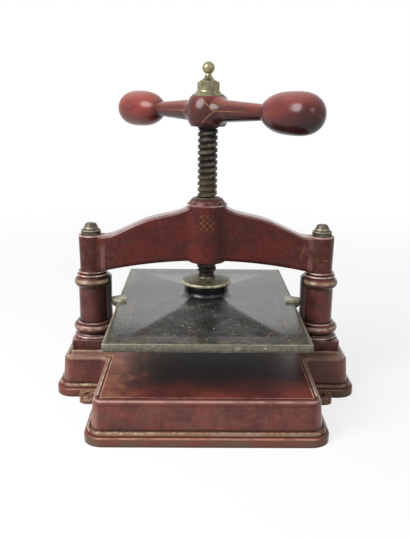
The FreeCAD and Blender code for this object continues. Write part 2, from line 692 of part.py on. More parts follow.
def screw():
    """The main screw, drawn at the crests of its thread."""
    foot = POCKET_FLOOR + SCREW_FOOT_GAP
    relief_top = SCREW_SHOULDER_Z - SHOULDER_LENGTH
    shaft = turned([
        (0, foot),
        (JOURNAL_RADIUS - ENTRY_CHAMFER, foot),
        (JOURNAL_RADIUS, foot + ENTRY_CHAMFER),
        (JOURNAL_RADIUS, THREAD_BOTTOM_Z),
        (SCREW_RADIUS, THREAD_BOTTOM_Z + SCREW_RADIUS - JOURNAL_RADIUS),
        (SCREW_RADIUS, relief_top - RELIEF_LENGTH),
        (RELIEF_RADIUS, relief_top - RELIEF_LENGTH),
        (RELIEF_RADIUS, relief_top),
        (SCREW_RADIUS, relief_top),
        (SCREW_RADIUS, SCREW_SHOULDER_Z),
        (STUD_RADIUS, SCREW_SHOULDER_Z),
        (STUD_RADIUS, STUD_TOP - ENTRY_CHAMFER),
        (STUD_RADIUS - ENTRY_CHAMFER, STUD_TOP),
        (0, STUD_TOP),
    ])
    half = SQUARE_WIDTH / 2
    square = block((-half, half), (-half, half), (SCREW_SHOULDER_Z, SQUARE_TOP))
    square.rotate(ORIGIN, Z_AXIS, HANDLE_ANGLE)
    return shaft.fuse(square).cut(thrust_pin()).removeSplitter()


def thrust_pin():
    reach = THRUST_RADIUS - THRUST_PIN_SHORT
    return radial_pin(THRUST_PIN_RADIUS, -reach, 2 * reach, THRUST_PIN_Z, HANDLE_ANGLE)


def thrust_collar():
    collar = cylinder(THRUST_RADIUS, THRUST_TOP - THRUST_THICKNESS, THRUST_TOP)
    return pierced(collar, JOURNAL_RADIUS).cut(thrust_pin())


def slope(half_run, along_x):
    """A ridge whose two sides sweep up in hollow curves to a narrow flat top."""
    low = PLATEN_TOP - PLATEN_EDGE / 2
    top = PLATEN_TOP + RAISED_HEIGHT
    inner = half_run * RAISED_TOP_SHARE
    middle = (half_run + inner) / 2
    sag_z = PLATEN_TOP + RAISED_HEIGHT / 2 - RAISED_SAG

    def at(run, z):
        return vec(run, 0, z) if along_x else vec(0, run, z)

    edges = [
        Part.makeLine(at(-half_run, low), at(half_run, low)),
        Part.makeLine(at(half_run, low), at(half_run, PLATEN_TOP)),
        arc(at(half_run, PLATEN_TOP), at(middle, sag_z), at(inner, top)),
        Part.makeLine(at(inner, top), at(-inner, top)),
        arc(at(-inner, top), at(-middle, sag_z), at(-half_run, PLATEN_TOP)),
        Part.makeLine(at(-half_run, PLATEN_TOP), at(-half_run, low)),
    ]
    length = PLATEN_DEPTH + PLATEN_WIDTH
    direction = vec(0, length, 0) if along_x else vec(length, 0, 0)
    ridge = Part.Face(Part.Wire(edges)).extrude(direction)
    ridge.translate(direction * -0.5)
    return ridge


def guide_lug(side):
    """A nose on the platen's side edge that runs along the column's rib."""
    x_end = COLUMN_X - RIB_REACH - GUIDE_GAP
    x_root = PLATEN_WIDTH / 2 - GUIDE_LUG_INSET
    x_edge = PLATEN_WIDTH / 2 - BEYOND
    top = PLATEN_TOP + GUIDE_LUG_RISE
    half = GUIDE_LUG_WIDTH / 2
    nose = GUIDE_NOSE_WIDTH / 2
    plan = [(x_root, -half), (x_edge, -half), (x_end, -nose), (x_end, nose), (x_edge, half), (x_root, half)]
    plan_points = [vec(x, y, PLATEN_BOTTOM) for x, y in plan + plan[:1]]
    solid = Part.Face(Part.makePolygon(plan_points)).extrude(vec(0, 0, top - PLATEN_BOTTOM))
    x_under = PLATEN_WIDTH / 2
    x_past = x_end + BEYOND
    under = [(x_under, PLATEN_BOTTOM), (x_past, PLATEN_BOTTOM), (x_past, top - GUIDE_NOSE_DEPTH)]
    under_points = [vec(x, -half - BEYOND, z) for x, z in under + under[:1]]
    across = vec(0, GUIDE_LUG_WIDTH + 2 * BEYOND, 0)
    solid = solid.cut(Part.Face(Part.makePolygon(under_points)).extrude(across))
    return solid if side > 0 else solid.mirror(ORIGIN, X_AXIS)


def platen_boss():
    """The boss, with a hollow skirt that runs out below the surface of the slopes."""
    hollow = (PLATEN_BOSS_RADIUS + SKIRT_HOLLOW[0], PLATEN_TOP + SKIRT_HOLLOW[1])
    skirt = (PLATEN_BOSS_RADIUS + SKIRT_REACH, PLATEN_TOP + SKIRT_BOTTOM)
    return turned([
        (0, PLATEN_TOP),
        (skirt[0], PLATEN_TOP),
        skirt,
        (hollow, (PLATEN_BOSS_RADIUS, PLATEN_TOP + SKIRT_TOP)),
        (PLATEN_BOSS_RADIUS, PLATEN_BOSS_TOP),
        (0, PLATEN_BOSS_TOP),
    ])


def platen():
    x = PLATEN_WIDTH / 2
    y = PLATEN_DEPTH / 2
    corners = [(x, -y), (x, y), (-x, y), (-x, -y)]
    outline = rounded_outline([(*corner, PLATEN_CORNER) for corner in corners], PLATEN_BOTTOM)
    slab = plate(outline, PLATEN_EDGE)
    slab = slab.makeFillet(PLATEN_EDGE_ROUND, edges_at(slab, PLATEN_TOP))
    raised = slope(x - MARGIN, True).common(slope(y - MARGIN, False))
    solid = slab.fuse([raised, platen_boss()] + [guide_lug(s) for s in SIDES.values()])
    return solid.cut(cylinder(POCKET_RADIUS, POCKET_FLOOR, PLATEN_BOSS_TOP + BEYOND)).removeSplitter()


def retaining_cap():
    bore = JOURNAL_RADIUS + RUNNING_CLEARANCE
    hub_bottom = CAP_TOP + CAP_CROWN
    crown_start = CAP_RADIUS - CAP_LIP
    crown_middle = ((crown_start + CAP_HUB_RADIUS) / 2, CAP_TOP + CAP_CROWN * CAP_CROWN_SHARE)
    cap = turned([
        (bore, SPIGOT_BOTTOM),
        (POCKET_RADIUS, SPIGOT_BOTTOM),
        (POCKET_RADIUS, PLATEN_BOSS_TOP),
        (CAP_RADIUS - CAP_EDGE_UNDERCUT, PLATEN_BOSS_TOP),
        ((CAP_RADIUS, PLATEN_BOSS_TOP + CAP_EDGE / 2), (CAP_RADIUS - CAP_EDGE_ROUND, CAP_TOP)),
        (crown_start, CAP_TOP),
        (crown_middle, (CAP_HUB_RADIUS, hub_bottom)),
        (CAP_HUB_RADIUS - CAP_HUB_TAPER, hub_bottom + CAP_HUB_HEIGHT),
        (bore, hub_bottom + CAP_HUB_HEIGHT),
    ])
    half = CAP_NOTCH_WIDTH / 2
    across = (CAP_RADIUS - CAP_NOTCH_DEPTH, CAP_RADIUS + BEYOND)
    notch = block(across, (-half, half), (PLATEN_BOSS_TOP - BEYOND, CAP_TOP + BEYOND))
    notch.rotate(ORIGIN, Z_AXIS, CAP_NOTCH_ANGLE)
    return cap.cut(notch)


def grip_arm():
    """One arm of the handle with its grip, turned about Z and starting at the hub's middle."""
    ledge = ARM_NECK_RADIUS + NECK_LEDGE
    inner_run, inner_rise = GRIP_INNER_HOLD
    outer_run, outer_share = GRIP_OUTER_HOLD
    inner_length = GRIP_WIDEST_REACH - NECK_REACH
    outer_length = GRIP_END_REACH - GRIP_WIDEST_REACH
    holds = [
        (ledge, NECK_REACH),
        (ledge + (GRIP_RADIUS - ledge) * inner_rise, NECK_REACH + inner_length * inner_run),
        (GRIP_RADIUS, GRIP_WIDEST_REACH),
        (GRIP_RADIUS * outer_share, GRIP_WIDEST_REACH + outer_length * outer_run),
        (GRIP_END_FLAT, GRIP_END_REACH),
    ]
    profile = Part.BSplineCurve()
    profile.interpolate([vec(r, 0, z) for r, z in holds])
    corners = [(0, 0), (ARM_FLARE_RADIUS, 0), (ARM_FLARE_RADIUS, ARM_FLARE_START)]
    neck = [(ARM_ROOT_RADIUS, ARM_ROOT_REACH), (ARM_NECK_RADIUS, NECK_REACH), (ledge, NECK_REACH)]
    end = [(GRIP_END_FLAT, GRIP_END_REACH), (0, GRIP_END_REACH), (0, 0)]
    edges = [profile.toShape()]
    for run in (corners, neck, end):
        edges += [Part.makeLine(vec(a[0], 0, a[1]), vec(b[0], 0, b[1])) for a, b in zip(run, run[1:])]
    hollow_r, hollow_z = ARM_FLARE_HOLLOW
    flare_start = vec(ARM_FLARE_RADIUS, 0, ARM_FLARE_START)
    edges.append(arc(flare_start, vec(hollow_r, 0, hollow_z), vec(ARM_ROOT_RADIUS, 0, ARM_ROOT_REACH)))
    return Part.Face(Part.Wire(Part.__sortEdges__(edges))).revolve(ORIGIN, Z_AXIS, 360)


def handle():
    hub = turned([
        (0, SCREW_SHOULDER_Z),
        (HUB_FLAT_RADIUS, SCREW_SHOULDER_Z),
        ((HUB_BULGE_RADIUS, HANDLE_AXIS_Z), (HUB_FLAT_RADIUS, HUB_TOP)),
        (0, HUB_TOP),
    ])
    both = []
    for turn in (90, -90):
        arm = grip_arm()
        arm.rotate(ORIGIN, Y_AXIS, turn)
        arm.translate(vec(0, 0, HANDLE_AXIS_Z))
        arm.rotate(ORIGIN, Z_AXIS, HANDLE_ANGLE)
        both.append(arm)
    half = SQUARE_WIDTH / 2 + SQUARE_FIT
    socket = block((-half, half), (-half, half), (SCREW_SHOULDER_Z - BEYOND, HUB_TOP + BEYOND))
    socket.rotate(ORIGIN, Z_AXIS, HANDLE_ANGLE)
    return hub.fuse(both).removeSplitter().cut(socket)


def handle_washer():
    rim_top = HUB_TOP + FLARE_RIM
    out, up = FLARE_HOLLOW
    return turned([
        (STUD_RADIUS, HUB_TOP),
        (FLARE_FOOT_RADIUS, HUB_TOP),
        (FLARE_FOOT_RADIUS, rim_top),
        ((FLARE_TOP_RADIUS + out, rim_top + up), (FLARE_TOP_RADIUS, FLARE_TOP)),
        (STUD_RADIUS, FLARE_TOP),
    ])


def cap_nut():
    """A hexagon nut with a small spire and a ball on top."""
    flats_top = FLARE_TOP + CAP_NUT_HEIGHT
    shoulder_top = flats_top + CAP_NUT_SHOULDER
    spire_top = shoulder_top + SPIRE_HEIGHT
    corner = CAP_NUT_FLATS / 2 * CORNER_SHARE
    blank = turned([
        (0, FLARE_TOP),
        (corner - CAP_NUT_CHAMFER, FLARE_TOP),
        (corner, FLARE_TOP + CAP_NUT_CHAMFER),
        (corner, flats_top - CAP_NUT_CHAMFER),
        (corner - CAP_NUT_CHAMFER, flats_top),
        (0, flats_top),
    ])
    flats = hexagon(CAP_NUT_FLATS, FLARE_TOP, flats_top, CAP_NUT_ANGLE).common(blank)
    hollow_r, hollow_share = SPIRE_HOLLOW
    spire = turned([
        (0, flats_top - BEYOND),
        (CAP_NUT_SHOULDER_RADIUS, flats_top - BEYOND),
        (CAP_NUT_SHOULDER_RADIUS, flats_top),
        (SPIRE_FOOT_RADIUS, shoulder_top),
        ((hollow_r, shoulder_top + SPIRE_HEIGHT * hollow_share), (SPIRE_NECK_RADIUS, spire_top)),
        (0, spire_top),
    ])
    ball = Part.makeSphere(BALL_RADIUS, vec(0, 0, spire_top + BALL_RADIUS - BALL_SINK))
    hole = cylinder(STUD_RADIUS, FLARE_TOP - BEYOND, STUD_TOP + BEYOND)
    return flats.fuse([spire, ball]).cut(hole)


def on_columns(shape):
    """A shape drawn in the bridge's heights, put on the columns."""
    return shape.translated(vec(0, 0, COLUMN_TOP))


def all_nodes():
    nodes = {"base": base(), "bridge": on_columns(bridge())}
    nodes["screw_bush"] = on_columns(bush())
    nodes["bush_lock_screw"] = on_columns(bush_lock_screw())
    for name, side in SIDES.items():
        nodes[name + "_column"] = column(side)
        nodes[name + "_tie_rod"] = tie_rod(side)
        nodes[name + "_top_nut"] = top_nut(side)
        nodes[name + "_lower_washer"] = lower_washer(side)
        nodes[name + "_lower_nut"] = lower_nut(side)
    nodes["platen"] = platen()
    nodes["retaining_cap"] = retaining_cap()
    nodes["screw"] = screw()
    nodes["thrust_collar"] = thrust_collar()
    nodes["thrust_pin"] = thrust_pin()
    nodes["handle"] = handle()
    nodes["handle_washer"] = handle_washer()
    nodes["cap_nut"] = cap_nut()
    return nodes


os.makedirs("parts", exist_ok=True)
for node, shape in all_nodes().items():
    shape.exportStep("parts/" + node + ".step")
    box = shape.BoundBox
    print(node, len(shape.Solids), shape.isValid(), round(shape.Volume / 1000, 2), "cm3",
          [round(v, 2) for v in (box.XMin, box.XMax, box.YMin, box.YMax, box.ZMin, box.ZMax)])
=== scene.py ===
import json
import math

import bpy
from mathutils import Matrix, Vector


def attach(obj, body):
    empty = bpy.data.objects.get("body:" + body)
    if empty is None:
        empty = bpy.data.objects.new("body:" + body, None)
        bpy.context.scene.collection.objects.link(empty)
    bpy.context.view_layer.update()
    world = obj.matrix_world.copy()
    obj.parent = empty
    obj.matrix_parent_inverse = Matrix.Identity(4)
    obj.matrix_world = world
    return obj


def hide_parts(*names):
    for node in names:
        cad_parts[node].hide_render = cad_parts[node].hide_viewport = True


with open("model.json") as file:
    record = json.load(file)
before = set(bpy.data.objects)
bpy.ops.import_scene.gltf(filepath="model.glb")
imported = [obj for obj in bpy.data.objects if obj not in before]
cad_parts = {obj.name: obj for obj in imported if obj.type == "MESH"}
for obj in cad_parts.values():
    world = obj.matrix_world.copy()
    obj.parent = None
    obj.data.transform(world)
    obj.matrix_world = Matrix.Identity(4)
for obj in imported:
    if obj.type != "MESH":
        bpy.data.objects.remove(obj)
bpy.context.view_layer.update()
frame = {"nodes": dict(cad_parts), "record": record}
nodes = frame["nodes"]

MM = 0.001

# Sizes of the press that the finishes and the threaded screw follow, in millimetres
BED_HALF_WIDTH = 125.5
BED_HALF_DEPTH = 170.0
EAR_HALF_SPAN = 179.5
EAR_HALF_DEPTH = 45.5
DECK = 49.6
COLUMN_X = 146.8
PLINTH_HALF = 25.2
NUT_STEPS = (203.6, 206.8)
HANDLE_AXIS = 351.8
HANDLE_TURN = math.radians(-49.3)
PLATEN_HALF_WIDTH = 114.3
PLATEN_HALF_DEPTH = 161.3
PLATEN_TOP = 111.0
GUIDE_LUG_INSET = 11.0
PITCH = 7.5
CREST = 12.2
ROOT = 10.3
THREAD_BOTTOM = 151.0
THREAD_TOP = 330.8
CAP_RADIUS = 32.3
CAP_TOP = 139.2
BOSS_RADIUS = 24.6
HUB_RADIUS = 26.7
ARM_HALF_THICKNESS = 13.5
ARCH_CROWN = 166.7          # height of the arms' lower edge at the middle
ARCH_DROP = 18.1            # from there to the columns
JOURNAL_RADIUS = 10.6
JOURNAL_TOP = 146.0
SCREW_FOOT = 113.3
SCREW_CHAMFER = 1.5
RELIEF_RADIUS = 9.8
SHOULDER_RADIUS = 12.5
SHOULDER = (331.0, 333.2)
SQUARE_HALF_WIDTH = 8.5
SQUARE_TOP = 366.2
STUD_RADIUS = 7.9
STUD_TOP = 385.2
SEGMENTS = 64               # of the threaded screw, round its axis
ACROSS = 12                 # of one thread, from root to root

# Painted ornament, in millimetres
LATTICE = 7.8
LATTICE_HEIGHT = 217.5
LATTICE_REACH = 11.0
STRIPE_PARTING = math.radians(27.7)
STRIPE_INSET = 22.0
STRIPE_SCOOP = 26.0

# ---------------------------------------------------------------- node trees


class Value:
    """A node's output that takes part in Python expressions and adds its own nodes."""

    def __init__(self, maker, socket):
        self.maker = maker
        self.socket = socket

    def _math(self, operation, *others, swap=False):
        values = [self, *others]
        if swap:
            values.reverse()
        return self.maker.node("ShaderNodeMath", values, operation=operation)

    def __add__(self, other):
        return self._math("ADD", other)

    def __radd__(self, other):
        return self._math("ADD", other)

    def __sub__(self, other):
        return self._math("SUBTRACT", other)

    def __rsub__(self, other):
        return self._math("SUBTRACT", other, swap=True)

    def __mul__(self, other):
        return self._math("MULTIPLY", other)

    def __rmul__(self, other):
        return self._math("MULTIPLY", other)

    def __truediv__(self, other):
        return self._math("DIVIDE", other)

    def __rtruediv__(self, other):
        return self._math("DIVIDE", other, swap=True)

    def __gt__(self, other):
        return self._math("GREATER_THAN", other)

    def __abs__(self):
        return self._math("ABSOLUTE")

    def at_least(self, other):
        return self._math("MAXIMUM", other)

    def at_most(self, other):
        return self._math("MINIMUM", other)

    def root(self):
        return self._math("SQRT")

    def sin(self):
        return self._math("SINE")

    def cos(self):
        return self._math("COSINE")

    def floor(self):
        return self._math("FLOOR")

    def angle_to(self, other):
        """The angle of the direction (other, self), in radians."""
        return self._math("ARCTAN2", other)

    def repeats(self, length):
        """The distance to the nearest whole multiple of length."""
        return self._math("PINGPONG", length / 2)

    def ramp(self, low, high):
        """0 below low, 1 above high, smooth between."""
        values = [self, low, high, 0.0, 1.0]
        return self.maker.node("ShaderNodeMapRange", values, interpolation_type="SMOOTHSTEP")

    def band(self, middle, half, soft):
        """1 where the value is within half of middle, falling to 0 over soft."""
        return 1.0 - abs(self - middle).ramp(half, half + soft)


def distance(first, second):
    """How far two steps at right angles lead, as a Value."""
    return (first * first + second * second).root()


class Maker:
    """Adds nodes to a tree."""

    def __init__(self, tree):
        self.tree = tree

    def node(self, kind, inputs=(), output=0, **settings):
        """A node of any kind. inputs is a list in socket order, or a dict by socket name."""
        made = self.tree.nodes.new(kind)
        for key, value in settings.items():
            setattr(made, key, value)
        named = inputs.items() if isinstance(inputs, dict) else enumerate(inputs)
        for key, value in named:
            if isinstance(value, Value):
                self.tree.links.new(value.socket, made.inputs[key])
            elif value is not None:
                made.inputs[key].default_value = value
        return made if output is None else Value(self, made.outputs[output])


class Paint(Maker):
    """One material under construction, on a Principled surface."""

    def __init__(self, name):
        self.material = bpy.data.materials.new(name)
        self.material.use_nodes = True
        super().__init__(self.material.node_tree)
        self.surface = self.tree.nodes["Principled BSDF"]
        coordinates = self.node("ShaderNodeTexCoord", output=None).outputs
        self.place = Value(self, coordinates["Object"])
        split = self.node("ShaderNodeSeparateXYZ", [self.place], output=None)
        self.x, self.y, self.z = (Value(self, split.outputs[axis]) / MM for axis in "XYZ")
        self.facing_up = self.node("ShaderNodeSeparateXYZ", [Value(self, coordinates["Normal"])], "Z")

    def layers(self, body, *coats):
        """A colour with others laid over it in turn, each by a share from 0 to 1."""
        for share, colour in coats:
            body = self.blend(share, body, colour)
        return body

    def noise(self, scale, detail=3.0, rough=0.5, stretch=(1.0, 1.0, 1.0), shift=0.0):
        """Cloudy noise of about scale cells a metre, from 0 to 1."""
        moved = {"Vector": self.place, "Location": (shift, shift * 1.7, shift * 0.6), "Scale": stretch}
        where = self.node("ShaderNodeMapping", moved)
        values = {"Vector": where, "Scale": scale, "Detail": detail, "Roughness": rough}
        return self.node("ShaderNodeTexNoise", values)

    def blend(self, amount, first, second):
        """Mixes two colours by a value."""
        keys = {0: amount, 6: self.colour(first), 7: self.colour(second)}
        return self.node("ShaderNodeMix", keys, 2, data_type="RGBA")

    def colour(self, value):
        return value if isinstance(value, Value) else (*value, 1.0)

    def glancing(self, low, high):
        """1 where a surface turns away, for the gloss of old varnish."""
        return self.node("ShaderNodeLayerWeight", {"Blend": 0.5}, "Facing").ramp(low, high)

    def edges(self, radius, low, high):
        """1 along edges and corners, from how far a rounded normal leaves the true one."""
        rounded = self.node("ShaderNodeBevel", {"Radius": radius}, samples=8)
        true_normal = self.node("ShaderNodeNewGeometry", output="True Normal")
        dot = self.node("ShaderNodeVectorMath", [rounded, true_normal], "Value", operation="DOT_PRODUCT")
        return (1.0 - dot).ramp(low, high)

    def hollow_shade(self, distance, low, high):
        """1 in corners and under ledges, for painted shade there."""
        open_share = self.node("ShaderNodeAmbientOcclusion", {"Distance": distance}, "AO", samples=8)
        return 1.0 - open_share.ramp(low, high)

    def broken(self, scale, least, shift=0.0):
        """A share from least to 1 that breaks up a worn line."""
        return self.noise(scale, 3, 0.6, shift=shift).ramp(0.38, 0.58) * (1.0 - least) + least

    def flecks(self, scale, size, rarity):
        """1 on small round spots, in the share of scale cells a metre that rarity leaves."""
        cells = self.node("ShaderNodeTexVoronoi", {"Vector": self.place, "Scale": scale}, output=None)
        spot = 1.0 - Value(self, cells.outputs["Distance"]).ramp(size, size * 1.6)
        chance = self.node("ShaderNodeSeparateColor", [Value(self, cells.outputs["Color"])])
        return spot * (chance > rarity)

    def cast_bump(self, height, cells, normal=None):
        """A cast surface's fine unevenness, height in millimetres."""
        rise = self.noise(cells, 3, 0.55, shift=5.0)
        values = {"Height": rise, "Distance": height * MM, "Strength": 0.6, "Normal": normal}
        return self.node("ShaderNodeBump", values)

    def finish(self, **sockets):
        for name, value in sockets.items():
            socket = self.surface.inputs[name.replace("_", " ")]
            if isinstance(value, Value):
                self.tree.links.new(value.socket, socket)
            else:
                socket.default_value = (*value, 1.0) if isinstance(value, tuple) else value
        return self.material


def hue(red, green, blue):
    """A colour given in display values from 0 to 255, as the shader's linear numbers."""
    shares = [value / 255 for value in (red, green, blue)]
    return tuple(s / 12.92 if s <= 0.04045 else ((s + 0.055) / 1.055) ** 2.4 for s in shares)


# ---------------------------------------------------------------- finishes

# Grime colour, also used for painted shade in hollows
GRIME_AND_SHADE = hue(46, 34, 27)
RUST = hue(124, 84, 60)
RUBBED = hue(206, 172, 156)
TAN = hue(150, 118, 90)
GOLD = hue(196, 150, 74)
NEAR_BLACK = hue(16, 12, 11)
SPECK = hue(206, 202, 190)


def enamel(paint, clean, deep, brown, wear):
    """Old red enamel: patches of clean, deep and dirt-browned colour, with grime in streaks."""
    cloud = paint.noise(38, 4, 0.6).ramp(0.36, 0.64)
    patches = paint.noise(130, 4, 0.65, stretch=(0.3, 0.3, 1.0), shift=3.0).ramp(0.42, 0.78)
    streaks = paint.noise(190, 3, 0.7, stretch=(1.0, 1.0, 0.25), shift=2.0).ramp(0.5, 0.75)
    grain = paint.noise(460, 3, 0.7, stretch=(0.5, 0.5, 1.0), shift=14.0)
    return paint.layers(
        paint.blend(cloud, deep, clean),
        (grain.ramp(0.5, 0.75) * 0.14, TAN),
        ((1.0 - grain.ramp(0.25, 0.5)) * 0.25, GRIME_AND_SHADE),
        (patches * wear, brown),
        (streaks * wear * 0.6, GRIME_AND_SHADE),
    )


def outline_distance(paint):
    """How far a point lies outside the outline of the base's deck, in millimetres."""
    across, along = abs(paint.x), abs(paint.y)
    bed = (across - BED_HALF_WIDTH).at_least(along - BED_HALF_DEPTH)
    ear = (across - EAR_HALF_SPAN).at_least(along - EAR_HALF_DEPTH)
    return bed.at_most(ear)


def deck_coats(paint, outside):
    """The raised deck: the bed painted dark in the platen's shadow, its left side worn brown and partly
    painted light, and the ears browned.
    """
    across, along, up = abs(paint.x), abs(paint.y), paint.z
    deck = up.ramp(DECK - 2.2, DECK - 1.6) * (1.0 - outside.ramp(-6.2, -5.6))
    stain = paint.noise(26, 4, 0.6, shift=4.0)
    reddish = paint.blend(stain.ramp(0.35, 0.65), hue(80, 34, 31), hue(112, 52, 44))
    mottle = paint.noise(75, 5, 0.7, stretch=(1.0, 0.6, 1.0), shift=18.0)
    # The left of the bed worn orange-brown and partly painted light
    worn_and_lit_left = (stain * 0.4 + mottle * 0.8 - 0.6 - paint.x / BED_HALF_WIDTH).ramp(0.5, 1.0)
    # Painted shadow of the platen over the middle of the bed, weaker near the right edge
    platen_shadow = 1.0 - (along / BED_HALF_DEPTH + stain * 0.3 - 0.15).ramp(0.55, 0.9)
    shadowed = platen_shadow * (1.0 - paint.x.ramp(88, 120) * 0.7)
    on_ear = across.ramp(BED_HALF_WIDTH - 8, BED_HALF_WIDTH + 2)
    deck_paint = paint.layers(
        reddish,
        (shadowed * (1.0 - worn_and_lit_left) * 0.85, hue(46, 40, 37)),
        (worn_and_lit_left * 0.8, paint.blend(stain.ramp(0.4, 0.6), hue(138, 86, 68), hue(150, 104, 78))),
        (on_ear * 0.8, hue(138, 112, 88)),
    )
    by_plinth = abs(across - COLUMN_X).at_least(along).band(PLINTH_HALF + 0.7, 0.8, 0.7) * on_ear
    groove = outside.band(-6.5, 0.75, 0.25) * up.ramp(40, 42)
    # The groove painted near black at the bed's ends and brown along its sides: dirt and painted shade
    groove_dirt_and_shade = paint.blend(at_bed_end(along), hue(108, 84, 66), hue(40, 26, 22))
    return [
        (deck, deck_paint),
        (outside.band(-8.2, 0.4, 0.6) * deck * paint.broken(90, 0.25), hue(196, 140, 126)),
        (groove * 0.85, groove_dirt_and_shade),
        (by_plinth * deck * paint.broken(90, 0.6, 4.0), hue(222, 200, 176)),
    ]


def at_bed_end(along):
    """1 at the front and back ends of the bed, 0 along its sides and on the ears."""
    return along.ramp(BED_HALF_DEPTH - 16, BED_HALF_DEPTH - 12)


def rim_coats(paint, outside):
    """The deck's rounded edge worn pale with a painted highlight line and a painted shadow line below it, the
    upright corners given a painted sheen, and the left ear darker and the right paler.
    """
    across, along, up = abs(paint.x), abs(paint.y), paint.z
    side = 1.0 - at_bed_end(along)
    rim = up.ramp(44.5, 46.2) * outside.ramp(-5.7, -5.2)
    # Pale line on the rounded edge: wear and a painted highlight
    rim_wear_and_highlight = up.band(48.2, 0.35, 0.9) * outside.ramp(-4.6, -3.4) * paint.broken(40, 0.45, 6.0)
    # Painted sheen on the upright rounded corners of the bed and ears: a painted reflection
    bed_corner = (across - BED_HALF_WIDTH).ramp(-9, -2) * (along - BED_HALF_DEPTH).ramp(-9, -2)
    ear_corner = (across - EAR_HALF_SPAN).ramp(-9, -2) * (along - EAR_HALF_DEPTH).ramp(-9, -2)
    corners = bed_corner.at_least(ear_corner) * up.band(31, 11, 8)
    # The left ear painted darker and the right ear paler
    left_ear = 1.0 - paint.x.ramp(-142, -122)
    right_ear = paint.x.ramp(122, 142)
    return [
        (rim * 0.3, hue(112, 66, 58)),
        (rim_wear_and_highlight * 0.6, hue(196, 158, 146)),
        (rim * side * 0.6, hue(136, 108, 88)),
        (outside.band(-4.6, 0.45, 0.5) * rim * side * paint.broken(60, 0.3, 2.0), hue(216, 190, 162)),
        # Painted shadow line just under the rounded edge
        (up.band(44.0, 0.7, 0.8) * outside.ramp(-3.0, -2.0) * 0.5, hue(78, 30, 27)),
        (corners * paint.broken(45, 0.5, 9.0) * 0.45, hue(160, 120, 108)),
        (left_ear * 0.2, hue(62, 34, 28)),
        (right_ear * 0.2, hue(150, 112, 104)),
    ]


def moulding_coats(paint, outside):
    """The foot moulding: a browned bead with a flecked top over a roll, with the seams painted dark."""
    up = paint.z
    moulding = 1.0 - up.ramp(15.6, 16.4)
    lower = paint.noise(70, 4, 0.65, stretch=(0.5, 0.5, 1.0), shift=8.0)
    flecked = paint.noise(260, 4, 0.7, shift=1.0).ramp(0.46, 0.7)
    bead = up.band(13.4, 1.7, 0.7) * outside.ramp(3.4, 4.2)
    bead_top = up.band(14.6, 0.8, 0.7) * outside.ramp(2.6, 3.4)
    thin_line = up.band(9.7, 0.45, 0.5) * outside.ramp(8.4, 9.2)
    seams = up.band(16.3, 0.4, 0.6).at_least(up.band(11.2, 0.35, 0.4)) * outside.ramp(1.5, 2.5)
    return [
        (moulding, paint.blend(lower.ramp(0.4, 0.6), hue(104, 60, 48), hue(94, 72, 58))),
        (bead * 0.85, paint.blend(lower.ramp(0.42, 0.58), hue(128, 100, 78), hue(144, 114, 96))),
        (bead_top * flecked * (0.8 - paint.x.ramp(-90, -10) * 0.5), hue(222, 200, 168)),
        (up.band(10.6, 0.5, 0.5) * moulding * 0.6, hue(120, 50, 44)),
        (thin_line * paint.broken(70, 0.4, 2.0) * 0.55, hue(186, 142, 124)),
        (seams * 0.65, hue(50, 30, 25)),
        ((1.0 - up.ramp(0.3, 1.8)) * 0.6, GRIME_AND_SHADE),
    ]


def base_enamel():
    paint = Paint("base_enamel")
    outside = outline_distance(paint)
    lug = outside.ramp(11.2, 12.0)
    scale = paint.noise(260, 4, 0.7, shift=6.0).ramp(0.38, 0.62)
    body = paint.layers(
        enamel(paint, hue(112, 58, 53), hue(84, 47, 43), hue(96, 72, 59), 0.6),
        *deck_coats(paint, outside),
        *rim_coats(paint, outside),
        *moulding_coats(paint, outside),
        (lug, paint.blend(scale, hue(84, 56, 42), hue(166, 134, 108))),
        # Painted shade in corners and under ledges, weaker on the deck
        (paint.hollow_shade(9 * MM, 0.35, 0.85) * (0.5 - paint.z.ramp(44, 47) * 0.3), GRIME_AND_SHADE),
    )
    rough = paint.noise(60, 3, shift=1.0) * 0.25 + 0.28 + lug * 0.2
    return paint.finish(
        Base_Color=body, Roughness=rough, Specular_IOR_Level=0.22, Normal=paint.cast_bump(0.35, 420),
        Coat_Weight=paint.glancing(0.55, 0.9), Coat_Roughness=0.3,
    )


